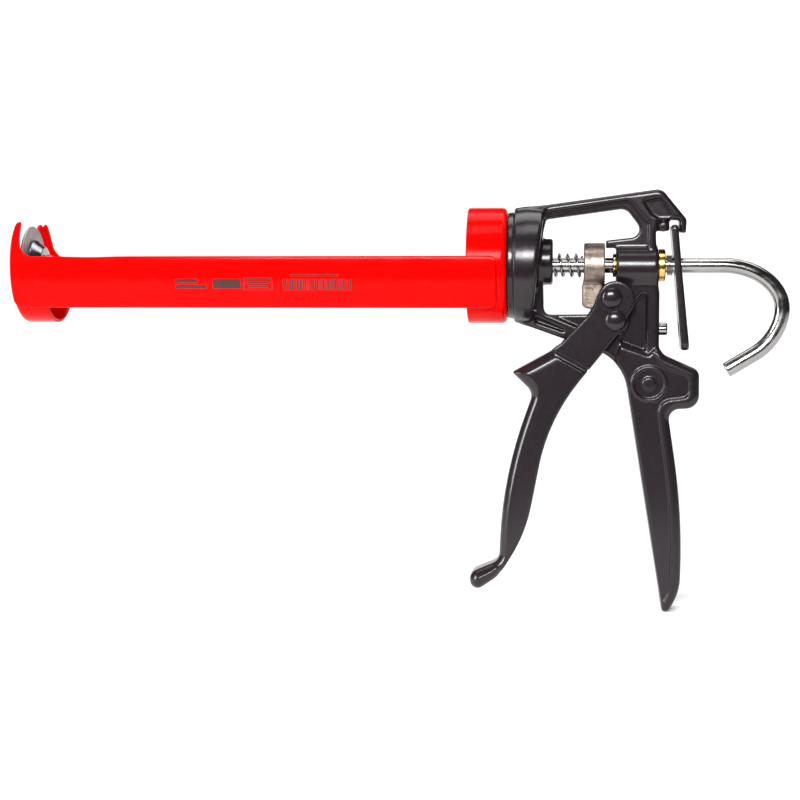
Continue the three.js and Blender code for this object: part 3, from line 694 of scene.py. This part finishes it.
class GUN_OT_casting(Operator):
    """Build the die-cast frame with its grip"""

    bl_idname = "gun.casting"
    bl_label = "Die-cast frame"

    def execute(self, context):
        pitch = chosen("casting_pitch")
        made = level_set(casting_field, (-7, -28.5, -161.5), (90, 28.5, 36.5), pitch)
        build("die_cast_frame", made, "frame_casting", "black_coat")
        return {"FINISHED"}


class GUN_OT_trigger(Operator):
    """Build the trigger with its ears and hollow handle"""

    bl_idname = "gun.trigger"
    bl_label = "Trigger"

    def execute(self, context):
        pitch = chosen("casting_pitch")
        made = level_set(trigger_field, (-20, -13.5, -153.5), (62, 13.5, -5), pitch)
        build("trigger", made, "trigger_handle", "black_coat")
        return {"FINISHED"}


class GUN_OT_driver(Operator):
    """Build the driver block that the trigger pushes along the rod"""

    bl_idname = "gun.driver"
    bl_label = "Driver"

    def execute(self, context):
        made = level_set(driver_field, (32, -12, -22), (46.5, 12, 12), 0.36)
        build("driver", made, "driver_block", "burnished_steel")
        return {"FINISHED"}


class GUN_OT_cups(Operator):
    """Build the two pressed cups of the cradle"""

    bl_idname = "gun.cups"
    bl_label = "Cradle cups"

    def execute(self, context):
        sheet = chosen("sheet")
        outer, inner, base = CUP_RADIUS, CUP_RADIUS - sheet, -PLAY / 2
        rear = rounded([
            (15.3, base, 0.3), (outer, base, CUP_CORNER), (outer, -REAR_CUP_DEPTH, 0.7),
            (inner, -REAR_CUP_DEPTH, 0.7), (inner, base - sheet, 1.1), (15.3, base - sheet, 0.3),
        ])
        build("rear_cup_shell", lathe(rear, 128), "rear_cup", "red_enamel")
        low = (FRONT_FACE - 1, -28, -28)
        made = level_set(front_cup_field, low, (FRONT_FACE + 17.5, 28, 21.5), 0.36)
        build("front_cup_shell", made, "front_cup", "red_enamel")
        return {"FINISHED"}


# Spot welds (x, z) and the shallow dimple that each leaves: depth and squared spread.
WELDS = ((-220.7, -1.0), (-217.5, -8.5), (-8.9, -14.5), (-10.5, -2.0))
WELD_DEPTH, WELD_SPREAD = 0.22, 2.6


def rail_edges(x):
    """Height of a rail's upper and lower edge at each X, from its rounded side outline."""
    front, split = FRONT_FACE + 0.8, -7.5
    upper = rounded([
        (front, 8), (front + 0.9, HORN_TOP, 2.4), (front + 3.3, HORN_TOP, 0.9), (front + 4.6, RAIL_TOP, 7),
        (RAIL_REAR, RAIL_TOP, 3), (RAIL_REAR, split), (front, split),
    ])
    lower = rounded([(front, split), (RAIL_REAR, split), (RAIL_REAR, RAIL_BOTTOM, 3), (front, RAIL_BOTTOM, 4)])
    top = upper[(upper[:, 1] > -7)]
    bottom = lower[(lower[:, 1] < -8)]
    top = top[np.argsort(top[:, 0])]
    bottom = bottom[np.argsort(bottom[:, 0])]
    dip = 0.35 * np.exp(-(((x + 192) / 11) ** 2))
    return np.interp(x, top[:, 0], top[:, 1]) - dip, np.interp(x, bottom[:, 0], bottom[:, 1])


def rail(side, sheet):
    """A strip of a tube: at each X the section is a band between two angles, closed by half circles at
    its two edges, and its wall thins to nothing in a quarter circle at both ends of the rail."""
    first, last = FRONT_FACE + 0.85, RAIL_REAR
    half = sheet / 2
    front = first + half * (1 - np.cos(np.linspace(0, np.pi / 2, 6)))
    rear = last - half * (1 - np.cos(np.linspace(np.pi / 2, 0, 6)))
    near = np.arange(front[-1] + 0.2, first + 22, 0.2)
    mid = np.arange(near[-1] + 2, last - 7, 2.0)
    end = np.arange(mid[-1] + 0.3, rear[0], 0.3)
    x = np.concatenate([front, near, mid, end, rear])
    depth = np.minimum(np.minimum(x - first, last - x) / half, 1)
    thick = sheet * np.sqrt(np.clip(1 - (1 - depth) ** 2, 1e-4, 1))
    middle = CUP_RADIUS + PLAY + half
    lip = half / middle
    top, bottom = rail_edges(x)
    high = (np.arcsin(np.clip(top / middle, -1, 1)) - lip)[:, None]
    low = (np.arcsin(np.clip(bottom / middle, -1, 1)) + lip)[:, None]
    share = np.linspace(0, 1, 34)
    bend = np.linspace(0, np.pi, 8)[1:-1]
    span = low + (high - low) * share
    outer = np.stack([span, np.full_like(span, 0.5)], 2)
    inner = np.stack([span[:, ::-1], np.full_like(span, -0.5)], 2)
    upper = np.stack([high + np.sin(bend) * lip, 0 * high + np.cos(bend) / 2], 2)
    lower = np.stack([low - np.sin(bend) * lip, 0 * low - np.cos(bend) / 2], 2)
    band = np.concatenate([outer, upper, inner, lower], 1)
    radius = middle + band[:, :, 1] * thick[:, None]
    for weld_x, weld_z in WELDS:
        gap = (x[:, None] - weld_x) ** 2 + (middle * np.sin(band[:, :, 0]) - weld_z) ** 2
        radius -= WELD_DEPTH * np.exp(-gap / WELD_SPREAD)
    y = side * radius * np.cos(band[:, :, 0])
    z = radius * np.sin(band[:, :, 0])
    grid = np.stack([x[:, None] + 0 * y, y, z], 2)
    points = np.vstack([grid.reshape(-1, 3), grid[0].mean(0), grid[-1].mean(0)])
    faces = closed_tube(*grid.shape[:2])
    return points, faces if side < 0 else [f[:, ::-1] for f in faces]


class GUN_OT_rails(Operator):
    """Build the cradle's two side rails with their horns"""

    bl_idname = "gun.rails"
    bl_label = "Cradle rails"

    def execute(self, context):
        sheet = chosen("sheet")
        build("near_rail", rail(-1, sheet), "left_rail", "red_enamel")
        build("far_rail", rail(1, sheet), "right_rail", "red_enamel")
        return {"FINISHED"}


TIP_EDGE = 0.6


def bezier(corners, steps=40):
    """Points of a cubic curve, sum of (1 - t)^(3 - k) t^k weights 1, 3, 3, 1 times its four corners, but for
    the first one."""
    t = np.linspace(0, 1, steps)[1:, None]
    a, b, c, d = corners
    return (1 - t) ** 3 * a + 3 * (1 - t) ** 2 * t * b + 3 * (1 - t) * t * t * c + t ** 3 * d


class GUN_OT_rod(Operator):
    """Build the push rod with its pull hook"""

    bl_idname = "gun.rod"
    bl_label = "Rod and hook"

    def execute(self, context):
        radius = chosen("rod_radius")
        start = node_x("hook_rod")[0]
        shoulder = PUSHER_FACE + 3.3
        stub = np.array([[start, 0], [start + 0.5, 0], [shoulder - 0.6, 0], [shoulder, 0]])
        straight = np.stack([np.linspace(shoulder + 0.01, HOOK_START, 120), np.zeros(120)], 1)
        first = np.array([(HOOK_START, 0), (113.1, 0), (HOOK_FAR, -8.95), (HOOK_FAR, -20)])
        second = np.array([first[3], (HOOK_FAR, -28.2), HOOK_LOW - HOOK_AIM * 7, HOOK_LOW])
        tail = HOOK_LOW + HOOK_AIM * np.linspace(0.5, HOOK_END - 0.8, 15)[:, None]
        round_off = np.linspace(0, np.pi / 2, 5)
        tip = HOOK_LOW + HOOK_AIM * (HOOK_END - TIP_EDGE * (1 - np.sin(round_off)))[:, None]
        flat = np.concatenate([stub, straight, bezier(first), bezier(second), tail, tip])
        size = np.full(len(flat), radius)
        size[:5] = [2.4, 2.9, 2.9, 2.9, radius - 0.5]
        size[-5:] = radius - TIP_EDGE * (1 - np.cos(round_off))
        path = np.stack([flat[:, 0], 0 * flat[:, 0], flat[:, 1]], 1)
        length = np.concatenate([[0], np.cumsum(np.linalg.norm(np.diff(path, axis=0), axis=1))])
        sides = 40
        points, faces = tube(path, np.array([[0.0, 1.0, 0.0]]), size, sides)
        around = np.abs(np.linspace(-1, 1, sides, endpoint=False))
        uv = np.stack(np.broadcast_arrays(length[:, None] * MM, around[None] * 0.011), 2).reshape(-1, 2)
        uv = np.vstack([uv, [[0, 0], [length[-1] * MM, 0]]])
        build("push_rod", (points, faces), "hook_rod", "zinc_plate", extra=[("along", uv)])
        return {"FINISHED"}


def coil(wire, low, high, mean, turns, closing, start=0.0):
    """A wire wound about the rod: angle grows evenly from a start, given in turns, and the advance along X
    slows near both ends by the closing share, so that the end turns lie close."""
    t = np.linspace(0, 1, int(turns * 40))
    angle = 2 * np.pi * (turns * t + start)
    x = low + (high - low) * (t - np.sin(2 * np.pi * t) / (2 * np.pi) * closing)
    path = np.stack([x, mean * np.cos(angle), mean * np.sin(angle)], 1)
    spoke = np.stack([0 * x, np.cos(angle), np.sin(angle)], 1)
    end = 1 - np.minimum(np.minimum(t, 1 - t) * turns * 20, 1)
    return tube(path, spoke, wire / 2 * np.sqrt(np.clip(1 - end ** 2, 0.02, 1)), 12)


class GUN_OT_springs(Operator):
    """Wind the main spring and the release lever's spring"""

    bl_idname = "gun.springs"
    bl_label = "Springs"

    def execute(self, context):
        wire = chosen("spring_wire")
        low, high = node_x("main_spring")
        made = coil(wire, low + wire / 2, high - wire / 2, 4.6 + wire / 2, 3.6, 0.2, 0.57)
        main = build("main_coil", made, "main_spring", "spring_steel")
        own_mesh(main)
        low, high = node_x("lever_spring")
        small = coil(0.7, low + 0.35, high - 0.35, 4.45, 3.0, 0.0)
        light = build("lever_coil", small, "lever_spring", "spring_steel")
        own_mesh(light)
        return {"FINISHED"}


class GUN_OT_pusher(Operator):
    """Build the pusher's plate, its conical hub, its nut and its collar"""

    bl_idname = "gun.pusher"
    bl_label = "Pusher"

    def execute(self, context):
        face = PUSHER_FACE
        disc = rounded([
            (3.2, face, 0.2), (14.6, face, 4), (15.6, face + 0.1, 2), (18.8, face + 0.1, 0.7),
            (18.8, face + 1.6, 0.7), (3.2, face + 1.6, 0.2),
        ])
        build("pusher_disc", lathe(disc, 96), "pusher_plate", "stamped_steel")
        floor = face + 1.9
        hub = rounded([
            (3.2, floor, 0.2), (12.2, floor, 0.3), (12.2, floor + 0.8, 0.4), (8.8, floor + 5.2, 0.7),
            (3.8, floor + 5.4, 0.3), (3.8, floor + 1.1), (3.2, floor + 1.1, 0.2),
        ])
        build("pusher_cone", lathe(hub, 96), "pusher_hub", "stamped_steel", "turned_steel")
        low, high = node_x("rod_nut")
        nut = rounded([(3.2, low, 0.2), (6, low, 0.6), (6, high, 0.4), (3.2, high, 0.2)])
        build("end_nut", lathe(nut, 48), "rod_nut", "spring_steel")
        low, high = node_x("rod_collar")
        ring = rounded([(3.8, low, 0.2), (5.2, low, 0.4), (5.2, high, 0.5), (3.8, high, 0.2)])
        build("stop_collar", lathe(ring, 48), "rod_collar", "spring_steel")
        return {"FINISHED"}


class GUN_OT_bushes(Operator):
    """Build the barrel's two guide bushes"""

    bl_idname = "gun.bushes"
    bl_label = "Guide bushes"

    def execute(self, context):
        pairs = [
            ("front_guide", "front_bush", 5.35, BARREL_FRONT, -1, 1.4),
            ("rear_guide", "rear_bush", 7.5, BARREL_BACK, 1, 3.0),
        ]
        for name, node, flange, face, side, width in pairs:
            out = face + side * (PLAY + width)
            inner = face - side * 8
            profile = rounded([
                (3.65, out, 0.3), (flange, out, 0.6), (flange, face + side * PLAY, 0.3),
                (4.9, face + side * PLAY), (4.9, inner, 0.3), (3.65, inner, 0.2),
            ])
            build(name, lathe(profile, 64), node, "brass")
        return {"FINISHED"}


def dome_rivet(centre):
    """A rivet across the gun: a head's radius is RIVET_HEAD sin(b)^0.9 and its height RIVET_DOME cos(b), at
    both ends of a plain shank."""
    bend = np.linspace(0, np.pi / 2, 12)
    head = np.stack([RIVET_HEAD * np.sin(bend) ** 0.9, -14.9 + RIVET_DOME * (1 - np.cos(bend))], 1)
    half = np.vstack([head, [(4.75, -12.32), (3.0, -12.3)]])
    return crosswise(lathe(np.vstack([half, (half * [1, -1])[::-1]]), 48), centre)


class GUN_OT_rivets(Operator):
    """Build the hinge rivet, the drive rivet and the drive roller"""

    bl_idname = "gun.rivets"
    bl_label = "Rivets and roller"

    def execute(self, context):
        build("hinge_rivet", dome_rivet(PIVOT), "pivot_pin", "black_coat", "rivet_coat")
        build("drive_rivet", dome_rivet(DRIVE), "drive_pin", "black_coat", "rivet_coat")
        profile = rounded([(3.35, -6.6, 0.2), (3.7, -6.6, 0.15), (3.7, 6.6, 0.15), (3.35, 6.6, 0.2)])
        profile[:, 0] = np.where(profile[:, 0] < 3.5, 3.3, 3.7)
        roller = crosswise(lathe(profile, 40), DRIVE)
        build("pin_roller", roller, "drive_roller", "spring_steel")
        return {"FINISHED"}


class GUN_OT_release(Operator):
    """Build the tilting release lever and its stop stud"""

    bl_idname = "gun.release"
    bl_label = "Release lever"

    def execute(self, context):
        points, faces = level_set(lever_field, (-2.5, -11.5, -58), (2.5, 11.5, 2.5), 0.36)
        across, up = math.cos(LEVER_TILT), math.sin(LEVER_TILT)
        x = points[:, 0] * across - points[:, 2] * up + LEVER_TOP[0]
        z = points[:, 0] * up + points[:, 2] * across + LEVER_TOP[1]
        made = np.stack([x, points[:, 1], z], 1), faces
        build("release_plate", made, "release_lever", "black_coat")
        low, high = node_x("stop_stud")
        stud = rounded([(0, low), (2.95, low, 0.3), (2.95, high, 0.7), (0, high)])
        build("stud", lathe(stud, 40, (0, STUD[1])), "stop_stud", "zinc_plate")
        return {"FINISHED"}


def squared(wave):
    """A sine or cosine raised to the power 0.4, sign kept: two of them trace a square with round corners."""
    return np.sign(wave) * np.abs(wave) ** 0.4


class GUN_OT_swivel(Operator):
    """Build the washer and the split ring that hold the cradle on its neck"""

    bl_idname = "gun.swivel"
    bl_label = "Swivel ring and washer"

    def execute(self, context):
        low, high = node_x("swivel_washer")
        profile = rounded([(15.3, low, 0.2), (20, low, 0.2), (20, high, 0.2), (15.3, high, 0.2)])
        build("thrust_washer", lathe(profile, 72), "swivel_washer", "spring_steel")
        low, high = node_x("retaining_ring")
        mid, half = (low + high) / 2, (high - low) / 2
        angle = np.linspace(math.radians(98), math.radians(442), 90)[:, None]
        bend = np.linspace(0, 2 * np.pi, 24, endpoint=False)
        radius = 15.6 + 2.0 * squared(np.cos(bend))
        x = mid + half * squared(np.sin(bend))
        grid = np.stack(np.broadcast_arrays(x, radius * np.cos(angle), radius * np.sin(angle)), 2)
        points = np.vstack([grid.reshape(-1, 3), grid[0].mean(0), grid[-1].mean(0)])
        made = points, closed_tube(*grid.shape[:2])
        build("split_ring", made, "retaining_ring", "spring_steel")
        return {"FINISHED"}


# Printed patches on the near rail, each from x to x and from z to z: plain blocks, then a row of bars.
BLOCKS = np.array([
    (-151.5, -137.0, -10.6, -8.9), (-151.5, -141.0, -7.9, -6.2), (-134.0, -121.0, -10.6, -6.2),
    (-118.6, -107.4, -8.2, -7.3), (-117.6, -108.4, -10.0, -9.3), (-119.8, -106.4, -6.2, -5.7),
    (-119.8, -106.4, -11.3, -10.8), (-119.8, -119.3, -11.3, -5.7), (-106.9, -106.4, -11.3, -5.7),
    (-98.0, -76.0, -4.9, -4.1),
])
BAR_START, BAR_END = -101.5, -70.0
INK_LIFT = 0.03


class GUN_OT_print(Operator):
    """Lay the printed bars and frame on the near rail"""

    bl_idname = "gun.print"
    bl_label = "Rail print"

    def execute(self, context):
        radius = CUP_RADIUS + PLAY + chosen("sheet") + INK_LIFT
        chance = np.random.default_rng(7)
        widths = chance.choice([0.35, 0.6, 0.9], 44)
        gaps = chance.choice([0.35, 0.5, 0.8], 44)
        left = BAR_START + np.concatenate([[0], np.cumsum(widths + gaps)[:-1]])
        bars = np.stack([left, left + widths, np.full(44, -11.4), np.full(44, -6.2)], 1)
        boxes = np.vstack([bars[bars[:, 1] < BAR_END], BLOCKS])[:, :, None, None]
        x = boxes[:, 0] + (boxes[:, 1] - boxes[:, 0]) * np.array([0.0, 1.0])
        z = boxes[:, 2] + (boxes[:, 3] - boxes[:, 2]) * np.linspace(0, 1, 6)[:, None]
        x, z = np.broadcast_arrays(x, z)
        points = np.stack([x, -np.sqrt(radius ** 2 - z ** 2), z], 3).reshape(-1, 3)
        one = grid_faces(6, 2, wrap_columns=False)
        faces = (one[None] + 12 * np.arange(len(boxes))[:, None, None]).reshape(-1, 4)
        mesh_object("rail_print", points, [faces], "left_rail", finish("print_ink"))
        return {"FINISHED"}


# The stage, in metres: the paper's front edge, where it starts to turn up, its bend's radius and its top.
PAPER_FRONT, PAPER_BACK, BEND, TOP = -0.335, 1.6, 0.8, 1.0
PAPER_ENDS = (-1.9, 1.6)
GUN_CENTRE, SWEEP_CENTRE = (-0.1, 0.0, 0.04), (0.0, 2.4, 0.6)


def sweep_paper(ground):
    """A floor that turns up behind: depth and height follow a quarter circle of radius BEND, then go on
    straight to TOP."""
    arc = np.linspace(0, np.pi / 2, 24)
    depth = np.concatenate([[PAPER_FRONT], PAPER_BACK + BEND * np.sin(arc), [PAPER_BACK + BEND]])
    height = ground + np.concatenate([[0.0], BEND * (1 - np.cos(arc)), [TOP]])
    across = np.linspace(*PAPER_ENDS, 12)
    grid = np.stack(np.broadcast_arrays(across, depth[:, None], height[:, None]), 2)
    faces = grid_faces(*grid.shape[:2], wrap_columns=False)
    mesh = bpy.data.meshes.new("paper_sweep")
    mesh.from_pydata(grid.reshape(-1, 3).tolist(), [], faces.tolist())
    mesh.shade_smooth()
    mesh.materials.append(finish("stage_paper"))
    return bpy.data.objects.new("paper_sweep", mesh)


def area_light(name, place, aim, wide, high, power):
    """A rectangular lamp at a place, turned towards its aim."""
    lamp = bpy.data.lights.new(name, "AREA")
    lamp.shape = "RECTANGLE"
    lamp.energy = power
    lamp.size = wide
    lamp.size_y = high
    light = bpy.data.objects.new(name, lamp)
    light.location = place
    light.rotation_euler = (Vector(aim) - Vector(place)).to_track_quat("-Z", "Y").to_euler()
    return light


def look_camera(look):
    """The camera at the panel's place, turned by its yaw and pitch."""
    view = bpy.data.cameras.new("camera")
    view.lens = look.lens
    view.sensor_width = 36
    camera = bpy.data.objects.new("camera", view)
    level = math.cos(look.pitch)
    ahead = Vector((-math.sin(look.yaw) * level, math.cos(look.yaw) * level, -math.sin(look.pitch)))
    camera.location = look.camera
    camera.rotation_euler = ahead.to_track_quat("-Z", "Y").to_euler()
    return camera


class GUN_OT_stage(Operator):
    """Lay the pale floor, the soft lights and the camera"""

    bl_idname = "gun.stage"
    bl_label = "Stage"

    def execute(self, context):
        scene = context.scene
        look = scene.gun_stage
        paper = sweep_paper(CAD_BOX[0][2] - 0.0005)
        scene.collection.objects.link(paper)
        for light in (
            ("key_light", (-0.15, -1.06, 0.50), GUN_CENTRE, 0.55, 0.22, look.key),
            ("side_light", (-1.20, -0.50, 0.40), GUN_CENTRE, 0.26, 0.75, look.side),
            ("top_light", (-0.05, -0.25, 1.10), GUN_CENTRE, 0.60, 0.35, look.top),
            ("sweep_light", (0.0, 1.20, 2.20), SWEEP_CENTRE, 2.40, 2.40, look.sweep),
        ):
            scene.collection.objects.link(area_light(*light))
        scene.world = bpy.data.worlds.new("studio")
        scene.world.use_nodes = True
        surround = scene.world.node_tree.nodes["Background"]
        surround.inputs["Color"].default_value = (1, 1, 1, 1)
        surround.inputs["Strength"].default_value = look.ambient
        scene.view_settings.view_transform = "Standard"
        scene.camera = look_camera(look)
        scene.collection.objects.link(scene.camera)
        return {"FINISHED"}


# ---------------------------------------------------------------- settings, panel and run


class GunSizes(PropertyGroup):
    casting_pitch: FloatProperty(
        name="Casting pitch", description="Grid step of the castings' surface",
        default=0.00052, min=0.0003, unit="LENGTH", precision=5)
    cast_edge: FloatProperty(
        name="Cast edge", description="Rounding of the castings' outer edges",
        default=0.0010, unit="LENGTH", precision=5)
    cast_fillet: FloatProperty(
        name="Cast fillet", description="Fillet where ribs meet the web",
        default=0.0009, unit="LENGTH", precision=5)
    sheet: FloatProperty(
        name="Sheet", description="Thickness of the cradle's steel sheet",
        default=0.0015, unit="LENGTH", precision=5)
    rod_radius: FloatProperty(
        name="Rod radius", description="Radius of the push rod", default=0.0035, unit="LENGTH", precision=5)
    spring_wire: FloatProperty(
        name="Spring wire", description="Wire diameter of the main spring",
        default=0.0011, unit="LENGTH", precision=5)


def colour(label, text, value):
    return FloatVectorProperty(name=label, description=text, default=value, subtype="COLOR", min=0, max=1)


class GunFinishes(PropertyGroup):
    enamel: colour("Enamel", "Cradle's baked enamel", (0.66, 0.0012, 0.0009))
    coat: colour("Coat", "Powder coat of the castings", (0.0115, 0.0078, 0.0101))
    zinc: colour("Zinc plate", "Push rod's plating", (0.36, 0.35, 0.345))
    spring: colour("Spring steel", "Springs, nuts and rings", (0.36, 0.35, 0.345))
    burnished: colour("Burnished steel", "Driver block", (0.23, 0.185, 0.155))
    brass: colour("Brass", "Guide bushes", (0.80, 0.52, 0.14))
    stamped: colour("Stamped steel", "Pusher's plate", (0.46, 0.42, 0.42))
    turned: colour("Turned steel", "Pusher's hub", (0.30, 0.30, 0.32))
    ink: colour("Ink", "Print on the rail", (0.030, 0.004, 0.004))
    paper: colour("Paper", "Seamless floor", (0.84, 0.84, 0.84))


class GunStage(PropertyGroup):
    key: FloatProperty(name="Key", description="Front light's power", default=20.0, unit="POWER")
    side: FloatProperty(name="Side", description="Side light's power", default=18.0, unit="POWER")
    top: FloatProperty(name="Top", description="Top light's power", default=3.0, unit="POWER")
    sweep: FloatProperty(name="Sweep", description="Power of the light on the backdrop", default=62.0, unit="POWER")
    ambient: FloatProperty(name="Ambient", description="Strength of the even light all round", default=0.05)
    lens: FloatProperty(name="Lens", description="Camera's focal length in millimetres", default=78.98)
    yaw: FloatProperty(
        name="Yaw", description="How far the camera looks towards the nozzle", default=math.radians(5.85),
        subtype="ANGLE")
    pitch: FloatProperty(
        name="Pitch", description="How far the camera looks down", default=math.radians(3.85), subtype="ANGLE")
    camera: FloatVectorProperty(
        name="Camera", description="Where the camera stands", default=(-0.0358, -0.8187, 0.09744),
        subtype="TRANSLATION", unit="LENGTH")


PIECES = (
    GUN_OT_casting, GUN_OT_trigger, GUN_OT_driver, GUN_OT_cups, GUN_OT_rails, GUN_OT_print, GUN_OT_rod,
    GUN_OT_springs, GUN_OT_pusher, GUN_OT_bushes, GUN_OT_rivets, GUN_OT_release, GUN_OT_swivel,
    GUN_OT_stage,
)


class GUN_PT_build(Panel):
    """Settings and pieces of the caulking gun"""

    bl_idname = "GUN_PT_build"
    bl_label = "Caulking gun"
    bl_space_type = "VIEW_3D"
    bl_region_type = "UI"
    bl_category = "Caulking gun"

    def draw(self, context):
        layout = self.layout
        for group in (context.scene.gun_sizes, context.scene.gun_finishes, context.scene.gun_stage):
            box = layout.box()
            for label in group.__annotations__:
                box.prop(group, label)
        column = layout.column()
        for operator in PIECES:
            column.operator(operator.bl_idname)


CLASSES = (GunSizes, GunFinishes, GunStage, *PIECES, GUN_PT_build)


def register():
    for made in CLASSES:
        bpy.utils.register_class(made)
    bpy.types.Scene.gun_sizes = PointerProperty(type=GunSizes)
    bpy.types.Scene.gun_finishes = PointerProperty(type=GunFinishes)
    bpy.types.Scene.gun_stage = PointerProperty(type=GunStage)


def unregister():
    del bpy.types.Scene.gun_stage
    del bpy.types.Scene.gun_finishes
    del bpy.types.Scene.gun_sizes
    for made in reversed(CLASSES):
        bpy.utils.unregister_class(made)


def main():
    register()
    for operator in PIECES:
        family, name = operator.bl_idname.split(".")
        getattr(getattr(bpy.ops, family), name)()
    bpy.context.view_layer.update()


if __name__ == "__main__":
    main()
